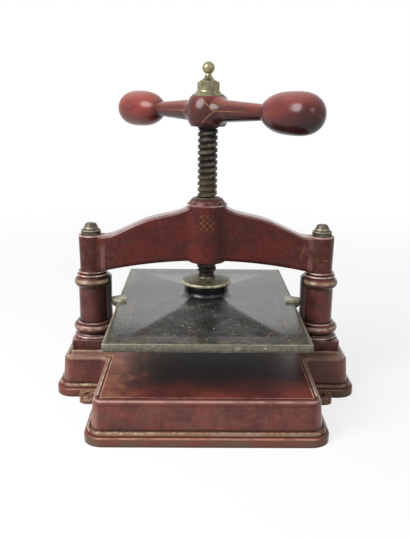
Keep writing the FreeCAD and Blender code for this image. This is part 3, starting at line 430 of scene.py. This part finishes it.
def column_enamel():
    paint = Paint("column_enamel")
    aside, up = abs(paint.x) - COLUMN_X, paint.z
    out = distance(aside, paint.y)
    body = enamel(paint, hue(94, 42, 39), hue(62, 28, 26), hue(72, 56, 46), 0.55)
    rubbed_and_highlight = paint.blend(paint.broken(90, 0.0, 6.0), hue(164, 116, 104), hue(226, 196, 180))
    beads = up.band(146.6, 0.7, 0.6).at_least(up.band(150.7, 0.6, 0.6))
    grooves = up.band(145.0, 0.35, 0.35).at_least(up.band(148.7, 0.5, 0.3))
    ovolo = up.band(139.6, 1.4, 1.6) * out.ramp(20.5, 22.0)
    rolls = up.band(79.8, 0.7, 1.2).at_least(up.band(77.6, 0.3, 0.6)) * out.ramp(22.5, 24.5)
    # Painted shade on the inner side of each column, towards the screw
    inner_side_shade = (1.0 - aside.ramp(-19.0, 5.0)) * up.ramp(62.0, 66.0)
    # The right column painted paler on its outer side
    paler_outer_right = aside.ramp(4.0, 18.0) * (paint.x > 0.0) * up.band(109.5, 23.0, 2.0)
    body = paint.layers(
        body,
        (inner_side_shade * 0.6, hue(30, 19, 17)),
        (paler_outer_right * 0.3, hue(132, 94, 96)),
        (up.band(50.1, 0.5, 0.4) * paint.broken(60, 0.6), rubbed_and_highlight),
        (up.band(63.6, 0.35, 0.35) * paint.broken(60, 0.2, 3.0) * 0.5, rubbed_and_highlight),
        # Painted highlight on the outer edge of the foot ring
        (up.band(66.3, 0.6, 0.8) * out.ramp(23.4, 24.4) * paint.broken(80, 0.4, 1.0) * 0.9, rubbed_and_highlight),
        (up.band(68.4, 1.0, 0.6) * 0.4, hue(128, 104, 104)),
        # Painted shade in the neck hollow above the foot
        (up.band(71.0, 0.9, 0.9) * 0.85, NEAR_BLACK),
        (up.band(74.0, 1.6, 2.0) * out.ramp(20.5, 22.0) * 0.45, hue(120, 78, 58)),
        # Painted highlights along the torus
        (rolls * 0.55 * paint.broken(50, 0.4, 4.0), rubbed_and_highlight),
        (up.band(84.2, 0.6, 0.5) * 0.7 * paint.broken(60, 0.5, 5.0), rubbed_and_highlight),
        (up.band(85.9, 0.4, 0.6) * 0.6, NEAR_BLACK),
        (up.band(133.0, 2.2, 1.6) * 0.6, hue(60, 50, 34)),
        (ovolo * 0.7 * paint.broken(60, 0.4, 9.0), hue(170, 146, 116)),
        (beads * paint.broken(70, 0.45, 2.0) * 0.75, rubbed_and_highlight),
        # Painted shade in the grooves between the capital's beads
        (grooves * 0.8, NEAR_BLACK),
        # The guide rib painted near black, painted shade on the inner side
        ((1.0 - aside.ramp(-21.5, -20.0)) * up.ramp(64.2, 65.0) * 0.9, NEAR_BLACK),
        # Painted shade in corners and under ledges
        (paint.hollow_shade(6 * MM, 0.35, 0.85) * 0.55, GRIME_AND_SHADE),
    )
    rough = paint.noise(60, 3, shift=1.0) * 0.2 + 0.22
    bump = paint.cast_bump(0.2, 420)
    return paint.finish(
        Base_Color=body, Roughness=rough, Specular_IOR_Level=0.28, Normal=bump,
        Coat_Weight=paint.glancing(0.55, 0.9), Coat_Roughness=0.25,
    )


def bridge_enamel():
    paint = Paint("bridge_enamel")
    across, up = abs(paint.x), paint.z
    out = distance(paint.x, paint.y)
    aside = across - COLUMN_X
    end_out = distance(aside, paint.y)
    on_end = 1.0 - end_out.ramp(16.2, 16.8)
    on_boss = 1.0 - out.ramp(25.0, 26.0)
    body = enamel(paint, hue(86, 27, 24), hue(64, 23, 20), hue(66, 40, 33), 0.45)
    rubbed_and_highlight = paint.blend(paint.broken(90, 0.0, 6.0), hue(170, 122, 112), hue(226, 196, 182))
    worn = paint.edges(1.4 * MM, 0.03, 0.2) * paint.broken(120, 0.1, 7.0)
    arm_top = paint.facing_up.ramp(0.1, 0.7) * out.ramp(25.0, 27.0) * end_out.ramp(16.8, 17.4)
    top_mottle = paint.noise(130, 4, 0.6, shift=10.0).ramp(0.4, 0.6)
    dust_and_sheen = paint.blend(top_mottle, hue(118, 72, 66), hue(156, 116, 108))
    arch = ARCH_CROWN - across * across * (ARCH_DROP / COLUMN_X ** 2)
    on_face = abs(paint.y).band(ARM_HALF_THICKNESS, 0.25, 0.3) * (1.0 - across.ramp(132, 134))
    patch = 1.0 - distance(paint.x - 127.0, up - 178.0).ramp(5.0, 14.0)
    scratched = paint.noise(160, 4, 0.7, stretch=(1.0, 1.0, 0.3), shift=4.0).ramp(0.5, 0.6)
    browned = across.ramp(80, 150) * paint.noise(150, 4, 0.7, shift=11.0).ramp(0.42, 0.7)
    on_right_end = on_end * (paint.x > 0.0)
    on_left_end = on_end - on_right_end
    rings = out.band(16.3, 0.5, 0.3).at_least(out.band(19.6, 0.35, 0.4)) * up.ramp(238.6, 239.4)

    # A lozenge lattice in thin gold on the front and back of the centre boss
    around = paint.x.angle_to(abs(paint.y)) * BOSS_RADIUS
    height = up - LATTICE_HEIGHT
    lines = (around + height).repeats(LATTICE).at_most((around - height).repeats(LATTICE))
    panel = 1.0 - (abs(around) * 1.25).at_least(abs(height)).ramp(LATTICE_REACH - 0.6, LATTICE_REACH)
    ornament = (1.0 - lines.ramp(0.1, 0.45)) * panel * out.ramp(23.8, 24.3) * on_boss
    body = paint.layers(
        body,
        (browned * 0.7, hue(92, 66, 52)),
        (on_left_end * 0.4, hue(38, 22, 17)),
        # Painted highlight along the fillet where each end boss meets its arm
        (across.band(131.0, 1.4, 3.0) * paint.broken(70, 0.2, 13.0) * 0.3, hue(158, 114, 106)),
        (worn * 0.8, rubbed_and_highlight),
        # Top faces of the arms painted pale: dust and a painted sheen
        (arm_top * 0.4, dust_and_sheen),
        (up.band(197.2, 0.5, 0.6) * on_end * paint.broken(80, 0.5, 2.0) * 0.8, rubbed_and_highlight),
        ((up - arch).band(4.0, 0.3, 0.4) * on_face * 0.7, NEAR_BLACK),
        (patch * scratched * 0.6, RUST),
        (up.band(237.5, 0.5, 0.5) * on_boss * paint.broken(80, 0.35, 3.0) * 0.8, rubbed_and_highlight),
        (up.band(242.0, 2.0, 2.5) * on_boss * paint.broken(150, 0.0, 12.0) * 0.25, hue(156, 120, 112)),
        (rings * 0.85, NEAR_BLACK),
        (ornament * paint.broken(90, 0.3, 8.0) * 0.4, GOLD),
        (up.band(168.5, 0.3, 0.4) * on_right_end * paint.broken(60, 0.2, 1.0) * 0.2, GOLD),
        # Painted shade in corners and under ledges
        (paint.hollow_shade(8 * MM, 0.3, 0.8) * 0.45, GRIME_AND_SHADE),
    )
    rough = paint.noise(60, 3, shift=1.0) * 0.18 + 0.22
    bump = paint.cast_bump(0.15, 420)
    return paint.finish(
        Base_Color=body, Roughness=rough, Specular_IOR_Level=0.18, Normal=bump,
        Coat_Weight=arm_top, Coat_Roughness=0.3,
    )


def handle_enamel():
    paint = Paint("handle_enamel")
    c, s = math.cos(HANDLE_TURN), math.sin(HANDLE_TURN)
    along = paint.x * c + paint.y * s
    aside = paint.y * c - paint.x * s
    rise = paint.z - HANDLE_AXIS
    reach = abs(along)
    out = distance(along, aside)
    body = enamel(paint, hue(92, 30, 27), hue(62, 21, 19), hue(62, 26, 23), 0.35)
    knob = reach.ramp(94, 104)
    left_knob = knob * (1.0 - along.ramp(-20, 20))
    blotch = paint.noise(24, 3, 0.55, shift=12.0).ramp(0.4, 0.62)
    smears = paint.noise(60, 3, 0.6, stretch=(0.4, 0.4, 1.6), shift=7.0).ramp(0.56, 0.64)
    worn = paint.edges(1.2 * MM, 0.03, 0.2) * paint.broken(120, 0.1, 7.0)

    # Stripes: one along each side of an arm, which parts in two on the hub
    swing = aside.angle_to(along)
    past = (abs(swing) - STRIPE_PARTING).at_least(0.0) * HUB_RADIUS
    past_far = (math.pi - abs(swing) - STRIPE_PARTING).at_least(0.0) * HUB_RADIUS
    near = past.at_most(past_far)
    on_hub = (1.0 - out.ramp(31.0, 32.0)) * out.ramp(20.0, 20.6)
    fork = (1.0 - abs(abs(rise) - near * 0.92).ramp(0.2, 0.55)) * on_hub * (1.0 - near.ramp(14.6, 15.0))
    arm_line = (1.0 - abs(rise).ramp(0.15, 0.5)) * out.ramp(28.6, 29.2) * (1.0 - reach.ramp(40, 91)) * 0.5
    body = paint.layers(
        body,
        (knob, paint.blend(blotch, hue(104, 37, 34), hue(60, 22, 22))),
        (left_knob * 0.55, hue(136, 52, 42)),
        (knob * smears * 0.4, hue(48, 18, 18)),
        # Upward faces painted paler: a painted reflection of the bright surroundings
        (paint.facing_up.ramp(0.3, 0.95) * 0.42, hue(178, 102, 92)),
        # Painted shade on the undersides, weaker on the left knob
        ((1.0 - paint.facing_up.ramp(-0.75, 0.2)) * (0.8 - left_knob * 0.35), hue(30, 11, 12)),
        (worn * 0.55, RUBBED),
        # Painted shade on the lower far end of the right knob
        (knob * along.ramp(118, 168) * (1.0 - paint.facing_up.ramp(-0.2, 0.7)) * 0.7, hue(34, 14, 18)),
        (fork.at_least(arm_line) * paint.broken(70, 0.45, 8.0) * 0.75, hue(206, 166, 108)),
        (rise.band(-12.0, 0.3, 0.3) * on_hub * 0.2, hue(160, 50, 40)),
        # Painted shade in corners and under ledges
        (paint.hollow_shade(6 * MM, 0.3, 0.8) * 0.1, GRIME_AND_SHADE),
    )
    rough = paint.noise(50, 3, shift=1.0) * 0.12 + 0.17
    bump = paint.cast_bump(0.02, 300)
    return paint.finish(Base_Color=body, Roughness=rough, Specular_IOR_Level=0.34, Normal=bump)


def platen_enamel():
    paint = Paint("platen_enamel")
    across, along, up = abs(paint.x), abs(paint.y), paint.z
    side, end = PLATEN_HALF_WIDTH - across, PLATEN_HALF_DEPTH - along
    inset = side.at_most(end)
    cloud = paint.noise(40, 5, 0.65)
    olive = paint.noise(24, 5, 0.7, shift=3.0).ramp(0.42, 0.7)
    patina = paint.blend(paint.noise(260, 4, 0.7, shift=5.0).ramp(0.4, 0.6), hue(56, 50, 34), hue(94, 87, 64))
    edge = 1.0 - inset.ramp(1.2, 4.6)
    on_top = up.ramp(PLATEN_TOP - 1.0, PLATEN_TOP - 0.4)
    on_edge = 1.0 - up.ramp(PLATEN_TOP - 2.0, PLATEN_TOP - 0.6)

    # A faded stripe set in from the edge, with its corners scooped out
    side_in, end_in = (side - STRIPE_INSET).at_least(0.0), (end - STRIPE_INSET).at_least(0.0)
    scoop = distance(side_in, end_in) - STRIPE_SCOOP
    stripe = 1.0 - abs(scoop.at_most(inset - STRIPE_INSET)).ramp(0.3, 0.9)

    out = distance(paint.x, paint.y)
    boss = 1.0 - out.ramp(30.0, 46.0)
    lug = (1.0 - side.ramp(GUIDE_LUG_INSET, GUIDE_LUG_INSET + 0.3)) * (1.0 - along.ramp(10.2, 10.6))
    lug = lug * up.ramp(PLATEN_TOP + 0.2, PLATEN_TOP + 0.6)
    scuffed = paint.noise(620, 3, 0.6, stretch=(1.0, 0.5, 1.0), shift=2.0).ramp(0.56, 0.7)
    scuffed = scuffed * paint.noise(22, 3, shift=8.0).ramp(0.4, 0.62)
    curls = abs(paint.noise(60, 2, 0.6, shift=15.0) - 0.5).band(0.0, 0.005, 0.012)
    in_front = (1.0 - across.ramp(30, 85)) * (1.0 - paint.y.ramp(-70, -30)) * 0.6 + 0.4
    scratches = curls * paint.noise(90, 3, 0.6, shift=16.0).ramp(0.5, 0.6) * in_front
    margin = (1.0 - inset.ramp(4, 26)) * paint.noise(90, 5, 0.75, shift=17.0).ramp(0.4, 0.62)
    body = paint.layers(
        paint.blend(cloud.ramp(0.3, 0.7), hue(26, 29, 31), hue(64, 68, 68)),
        (olive * 0.45, hue(70, 68, 50)),
        (margin * 0.65, hue(106, 102, 76)),
        (edge.at_least(on_edge) * 0.9, patina),
        (inset.band(1.3, 0.35, 0.5) * on_top * paint.broken(60, 0.4, 3.0) * 0.8, hue(170, 166, 136)),
        (stripe * on_top * paint.broken(40, 0.4, 6.0) * 0.55, hue(164, 96, 86)),
        (scuffed * 0.35, hue(150, 150, 132)),
        (scratches * 0.45, hue(164, 162, 146)),
        (paint.flecks(110, 0.08, 0.8) * 0.7, SPECK),
        (paint.flecks(240, 0.13, 0.8) * paint.noise(30, 2, shift=7.0).ramp(0.45, 0.6) * 0.5, SPECK),
        (boss, hue(8, 9, 10)),
        (lug, paint.blend(cloud.ramp(0.4, 0.6), hue(110, 106, 82), hue(160, 156, 130))),
    )
    rough = paint.noise(160, 4, 0.7, shift=1.0) * 0.2 + 0.13 + edge.at_least(on_edge) * 0.25
    bare_boss = 1.0 - out.ramp(28.0, 29.5)
    soft = paint.node("ShaderNodeBevel", {"Radius": 9 * MM}, samples=8)
    bump = paint.cast_bump(0.14, 260, soft)
    return paint.finish(
        Base_Color=body, Roughness=rough, Metallic=bare_boss, Specular_IOR_Level=0.8, Normal=bump,
    )


def old_iron():
    paint = Paint("old_iron")
    cloud = paint.noise(180, 4, 0.6).ramp(0.3, 0.7)
    worn = paint.edges(0.9 * MM, 0.02, 0.16) * paint.broken(200, 0.35, 7.0)
    aside = abs(paint.x) - COLUMN_X
    out = distance(aside, paint.y)
    steps = (paint.z.band(NUT_STEPS[0], 0.35, 0.5) * out.ramp(10.6, 11.4)).at_least(
        paint.z.band(NUT_STEPS[1], 0.3, 0.5)
    )
    # Painted shade under the steps of the nuts
    shade_under_steps = paint.z.band(NUT_STEPS[0] - 1.9, 0.3, 0.9).at_least(
        paint.z.band(NUT_STEPS[0] + 1.1, 0.3, 0.5)
    )
    body = paint.layers(
        paint.blend(cloud, hue(62, 56, 44), hue(104, 96, 78)),
        (shade_under_steps * 0.6, hue(36, 32, 24)),
        (worn.at_least(steps * paint.broken(160, 0.4, 4.0)) * 0.55, hue(206, 192, 170)),
        # Painted shade in corners and under ledges
        (paint.hollow_shade(4 * MM, 0.3, 0.8) * 0.7, NEAR_BLACK),
    )
    rough = paint.noise(300, 3, shift=1.0) * 0.2 + 0.36
    return paint.finish(Base_Color=body, Roughness=rough, Metallic=0.55)


def oiled_steel():
    paint = Paint("oiled_steel")
    out = distance(paint.x, paint.y)
    crest = out.ramp(ROOT + 0.3, CREST - 0.1)
    cloud = paint.noise(90, 4, 0.6)
    flank = paint.blend(cloud.ramp(0.3, 0.7), hue(24, 20, 18), hue(44, 38, 33))
    bare = paint.blend(cloud.ramp(0.35, 0.65), hue(42, 40, 36), hue(96, 90, 78))
    oily = paint.blend(cloud.ramp(0.35, 0.65), hue(26, 27, 22), hue(52, 52, 42))
    body = paint.layers(
        paint.blend(crest, flank, bare),
        (paint.z.band(252, 10, 22) * 0.45, hue(92, 80, 56)),
        (paint.z.ramp(325, 329), hue(22, 21, 17)),
        ((1.0 - paint.z.ramp(172, 182)) * 0.75, oily),
    )
    rough = paint.noise(300, 3, shift=1.0) * 0.2 + 0.3
    return paint.finish(Base_Color=body, Roughness=rough, Metallic=0.7, Specular_IOR_Level=0.3)


def aged_brass():
    paint = Paint("aged_brass")
    cloud = paint.noise(140, 4, 0.65)
    out = distance(paint.x, paint.y)
    above_bridge = paint.z.ramp(200.0, 300.0)
    cap = 1.0 - above_bridge
    on_disc = out.ramp(18.0, 20.0) * cap
    rim = paint.z.band(CAP_TOP - 0.9, 1.1, 0.9) * out.ramp(CAP_RADIUS - 3.4, CAP_RADIUS - 2.2)
    worn = paint.edges(0.9 * MM, 0.03, 0.22) * paint.broken(160, 0.25, 7.0) * above_bridge
    worn = worn.at_least(rim * paint.broken(110, 0.25, 3.0) * on_disc * 0.4)
    disc_side = out.ramp(CAP_RADIUS - 1.6, CAP_RADIUS - 0.8) * on_disc
    green = paint.noise(220, 3, 0.6, shift=4.0).ramp(0.5, 0.7)
    body = paint.layers(
        paint.blend(cloud.ramp(0.3, 0.7), hue(92, 88, 62), hue(150, 142, 110)),
        (green * 0.5, hue(96, 108, 84)),
        (cap * 0.7, paint.blend(cloud.ramp(0.35, 0.65), hue(30, 28, 21), hue(66, 62, 47))),
        (disc_side * 0.55, paint.blend(cloud.ramp(0.35, 0.65), hue(104, 98, 76), hue(168, 160, 130))),
        (worn * 0.9, hue(232, 224, 194)),
        (paint.z.ramp(394.0, 396.0) * 0.4, hue(166, 158, 116)),
        # Painted shade in corners and under ledges
        (paint.hollow_shade(4 * MM, 0.3, 0.8) * 0.7, hue(30, 27, 18)),
    )
    rough = paint.noise(200, 3, shift=1.0) * 0.2 + 0.2 + cap * 0.12
    return paint.finish(Base_Color=body, Roughness=rough, Metallic=0.7 - cap * 0.35)


IRON = old_iron()
STEEL = oiled_steel()
BRASS = aged_brass()
COLUMN = column_enamel()
NODE_FINISH = {
    "base": base_enamel(), "left_column": COLUMN, "right_column": COLUMN, "bridge": bridge_enamel(),
    "handle": handle_enamel(), "platen": platen_enamel(),
}
SLOT_FINISH = {"dark_iron": IRON, "screw_steel": STEEL, "aged_brass": BRASS}

for row in frame["record"]["subparts"]:
    node = nodes[row["node"]]
    node.data.materials.clear()
    node.data.materials.append(NODE_FINISH.get(row["node"]) or SLOT_FINISH[row["material_slot"]])

# ---------------------------------------------------------------- the threaded screw


class Recipe(Maker):
    """A geometry node tree under construction, with named inputs."""

    def __init__(self, name):
        super().__init__(bpy.data.node_groups.new(name, "GeometryNodeTree"))
        self.tree.interface.new_socket("Geometry", in_out="INPUT", socket_type="NodeSocketGeometry")
        self.tree.interface.new_socket("Geometry", in_out="OUTPUT", socket_type="NodeSocketGeometry")
        self.values = {}

    def number(self, name, value, kind="NodeSocketFloat"):
        """A named input of the tree and the value it is given."""
        self.values[name] = value
        self.tree.interface.new_socket(name, in_out="INPUT", socket_type=kind)

    def interface_done(self):
        self.inputs = self.node("NodeGroupInput", output=None)

    def join(self, *parts):
        joined = self.node("GeometryNodeJoinGeometry", output=None)
        for part in parts:
            self.tree.links.new(part.socket, joined.inputs[0])
        return Value(self, joined.outputs[0])

    def finish(self, geometry):
        self.node("NodeGroupOutput", [geometry], output=None)

    def __getitem__(self, name):
        return Value(self, self.inputs.outputs[name])

    def mesh(self, start, name):
        """The finished mesh that the tree makes from a starting object."""
        modifier = start.modifiers.new(name, "NODES")
        modifier.node_group = self.tree
        for item in self.tree.interface.items_tree:
            if item.item_type == "SOCKET" and item.in_out == "INPUT" and item.name in self.values:
                modifier[item.identifier] = self.values[item.name]
        graph = bpy.context.evaluated_depsgraph_get()
        mesh = bpy.data.meshes.new_from_object(start.evaluated_get(graph), depsgraph=graph)
        start.modifiers.remove(modifier)
        mesh.name = name
        return mesh


def turned_rings(rings, segments):
    """Closed mesh data for a turned body, from (radius, height) rings that start and end on its axis."""
    points, faces = [], []
    for radius, height in rings:
        if radius == 0:
            points.append((0.0, 0.0, height * MM))
            continue
        for k in range(segments):
            turn = 2 * math.pi * k / segments
            points.append((radius * MM * math.cos(turn), radius * MM * math.sin(turn), height * MM))
    starts = []
    count = 0
    for radius, height in rings:
        starts.append(count)
        count += 1 if radius == 0 else segments
    for ring, next_ring, low, high in zip(rings, rings[1:], starts, starts[1:]):
        for k in range(segments):
            n = (k + 1) % segments
            if ring[0] == 0:
                faces.append((low, high + n, high + k))
            elif next_ring[0] == 0:
                faces.append((low + k, low + n, high))
            else:
                faces.append((low + k, low + n, high + n, high + k))
    return points, faces


def new_mesh_object(name, points, faces):
    mesh = bpy.data.meshes.new(name)
    mesh.from_pydata(points, [], faces)
    made = bpy.data.objects.new(name, mesh)
    bpy.context.collection.objects.link(made)
    return made


def thread_recipe():
    """A tree that winds one thread profile up the screw and joins it to the plain ends."""
    recipe = Recipe("thread")
    turns = math.ceil((THREAD_TOP - THREAD_BOTTOM) / PITCH) + 1
    recipe.number("Pitch", PITCH * MM)
    recipe.number("Crest", CREST * MM)
    recipe.number("Root", ROOT * MM)
    recipe.number("Bottom", THREAD_BOTTOM * MM)
    recipe.number("Top", THREAD_TOP * MM)
    recipe.number("Runout", 0.2 * PITCH * MM)
    recipe.number("Segments", SEGMENTS, "NodeSocketInt")
    recipe.number("Across", ACROSS, "NodeSocketInt")
    recipe.number("Turns", turns, "NodeSocketInt")
    recipe.interface_done()
    steps, across = recipe["Segments"], recipe["Across"]
    grid_inputs = {"Vertices X": recipe["Turns"] * steps + 1.0, "Vertices Y": across + 1.0}
    grid = recipe.node("GeometryNodeMeshGrid", grid_inputs)
    index = recipe.node("GeometryNodeInputIndex")
    row = (index / (across + 1.0)).floor()
    share = (index - row * (across + 1.0)) / across
    turn = row / steps
    height = (turn + share - 1.0) * recipe["Pitch"] + recipe["Bottom"]
    kept = height.at_least(recipe["Bottom"]).at_most(recipe["Top"])
    fade = ((kept - recipe["Bottom"]) / recipe["Runout"]).at_most((recipe["Top"] - kept) / recipe["Runout"])
    ridge = 1.0 - (abs(share - 0.5) * 2.0).ramp(0.5, 0.76)
    radius = recipe["Root"] + (recipe["Crest"] - recipe["Root"]) * ridge * fade.at_most(1.0)
    angle = turn * (2 * math.pi)
    place = recipe.node("ShaderNodeCombineXYZ", [angle.cos() * radius, angle.sin() * radius, kept])
    wound = recipe.node("GeometryNodeSetPosition", {"Geometry": grid, "Position": place})
    both = recipe.join(wound, recipe["Geometry"])
    closed = recipe.node("GeometryNodeMergeByDistance", {"Geometry": both, "Distance": 0.004 * MM})
    whole = recipe.node("GeometryNodeRealizeInstances", [closed])
    painted = recipe.node("GeometryNodeSetMaterial", {"Geometry": whole, "Material": STEEL})
    recipe.finish(painted)
    return recipe


def added(body, other):
    """Mesh data of two bodies in one."""
    first = len(body[0])
    return body[0] + other[0], body[1] + [tuple(first + i for i in face) for face in other[1]]


def handle_square():
    """Mesh data of the square that drives the handle, turned with it."""
    half = SQUARE_HALF_WIDTH * MM
    c, s = math.cos(HANDLE_TURN), math.sin(HANDLE_TURN)
    points = []
    for z in (SHOULDER[1] * MM, SQUARE_TOP * MM):
        for x, y in ((-half, -half), (half, -half), (half, half), (-half, half)):
            points.append((x * c - y * s, x * s + y * c, z))
    faces = [(3, 2, 1, 0), (4, 5, 6, 7), (0, 1, 5, 4), (1, 2, 6, 5), (2, 3, 7, 6), (3, 0, 4, 7)]
    return points, faces


def make_screw():
    """The main screw: foot, journal, thread, relief neck and shoulder, with the stud and square."""
    foot = turned_rings([
        (0, SCREW_FOOT),
        (JOURNAL_RADIUS - SCREW_CHAMFER, SCREW_FOOT),
        (JOURNAL_RADIUS, SCREW_FOOT + SCREW_CHAMFER),
        (JOURNAL_RADIUS, JOURNAL_TOP),
        (RELIEF_RADIUS, JOURNAL_TOP + 1.2),
        (RELIEF_RADIUS, THREAD_BOTTOM - 0.3),
        (ROOT, THREAD_BOTTOM),
    ], SEGMENTS)
    head = turned_rings([
        (ROOT, THREAD_TOP),
        (ROOT, SHOULDER[0]),
        (SHOULDER_RADIUS, SHOULDER[0]),
        (SHOULDER_RADIUS, SHOULDER[1]),
        (STUD_RADIUS, SHOULDER[1]),
        (STUD_RADIUS, STUD_TOP - SCREW_CHAMFER),
        (STUD_RADIUS - SCREW_CHAMFER, STUD_TOP),
        (0, STUD_TOP),
    ], SEGMENTS)
    points, faces = added(added(foot, head), handle_square())
    blank = new_mesh_object("screw_blank", points, faces)
    mesh = thread_recipe().mesh(blank, "threaded_screw")
    bpy.data.objects.remove(blank)
    mesh.shade_smooth()
    mesh.set_sharp_from_angle(angle=math.radians(40))
    screw = bpy.data.objects.new("threaded_screw", mesh)
    bpy.context.collection.objects.link(screw)
    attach(screw, "screw_group")
    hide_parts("screw")


make_screw()

# ---------------------------------------------------------------- floor, light and camera

WHITE = (0.93, 0.93, 0.93)
BRIGHTER_WHITE = (0.95, 0.95, 0.95)
FLOOR_HALF = 30.0
FOCAL_PIXELS = 663.0
PICTURE_HEIGHT = 538.0
SENSOR = 36.0
CAMERA_PLACE = (-0.0121, -0.8267, 0.3695)
YAW, PITCH_DOWN, ROLL = (math.radians(angle) for angle in (0.71, 14.67, 0.58))
LIGHT_TARGET = (0, 0, 0.15)


def seen_directly(maker):
    """1 for what the camera, a mirror or a glass sees, 0 for what lights the object."""
    path = maker.node("ShaderNodeLightPath", output=None).outputs
    seen = Value(maker, path["Is Camera Ray"])
    mirrored = Value(maker, path["Is Glossy Ray"])
    through_glass = Value(maker, path["Is Transmission Ray"])
    return seen.at_least(mirrored).at_least(through_glass)


def make_floor():
    half = FLOOR_HALF
    corners = [(-half, -half, 0), (half, -half, 0), (half, half, 0), (-half, half, 0)]
    floor = new_mesh_object("floor", corners, [(0, 1, 2, 3)])
    paint = Paint("white_floor")
    paint.finish(Base_Color=paint.blend(paint.noise(3, 2) * 0.3, WHITE, BRIGHTER_WHITE), Roughness=0.9)
    far = distance(paint.x, paint.y).ramp(300, 1500)
    share = seen_directly(paint) * (far * 0.2 + 0.8)
    lit = Value(paint, paint.surface.outputs[0])
    glow = paint.node("ShaderNodeEmission", {"Strength": 1.0})
    both = paint.node("ShaderNodeMixShader", [share, lit, glow])
    paint.tree.links.new(both.socket, paint.tree.nodes["Material Output"].inputs["Surface"])
    floor.data.materials.append(paint.material)


def make_surroundings(light):
    """A studio that reads as white in sight and in reflections, and lights the object by less."""
    world = bpy.data.worlds.new("studio")
    world.use_nodes = True
    bpy.context.scene.world = world
    maker = Maker(world.node_tree)
    strength = seen_directly(maker) * (1.0 - light) + light
    background = world.node_tree.nodes["Background"]
    background.inputs["Color"].default_value = (1.0, 1.0, 1.0, 1.0)
    world.node_tree.links.new(strength.socket, background.inputs["Strength"])


def make_lamp(name, place, size, power):
    """A round lamp of a size in metres that shines on the middle of the press."""
    lamp = bpy.data.lights.new(name, "AREA")
    lamp.shape = "DISK"
    lamp.size = size
    lamp.energy = power
    holder = bpy.data.objects.new(name, lamp)
    holder.location = place
    towards = Vector(LIGHT_TARGET) - Vector(place)
    holder.rotation_euler = towards.to_track_quat("-Z", "Y").to_euler()
    bpy.context.collection.objects.link(holder)


def make_camera():
    """The camera stands in front of the press, a little left of its middle, and looks down on it."""
    forward = Vector((math.sin(YAW), math.cos(YAW), 0))
    ahead = forward * math.cos(PITCH_DOWN) - Vector((0, 0, math.sin(PITCH_DOWN)))
    level = Vector((math.cos(YAW), -math.sin(YAW), 0))
    above = level.cross(ahead)
    right = level * math.cos(ROLL) + above * math.sin(ROLL)
    up = above * math.cos(ROLL) - level * math.sin(ROLL)
    data = bpy.data.cameras.new("camera")
    data.sensor_width = SENSOR
    data.lens = FOCAL_PIXELS / PICTURE_HEIGHT * SENSOR
    camera = bpy.data.objects.new("camera", data)
    turn = Matrix((right, up, -ahead)).transposed().to_4x4()
    camera.matrix_world = Matrix.Translation(CAMERA_PLACE) @ turn
    bpy.context.collection.objects.link(camera)
    bpy.context.scene.camera = camera


make_floor()
make_surroundings(light=0.26)
make_lamp("key", (-1.1, -0.85, 1.2), size=1.15, power=37)
make_lamp("fill", (0.8, -1.3, 0.9), size=0.6, power=3)
make_camera()
bpy.context.scene.view_settings.view_transform = "Standard"
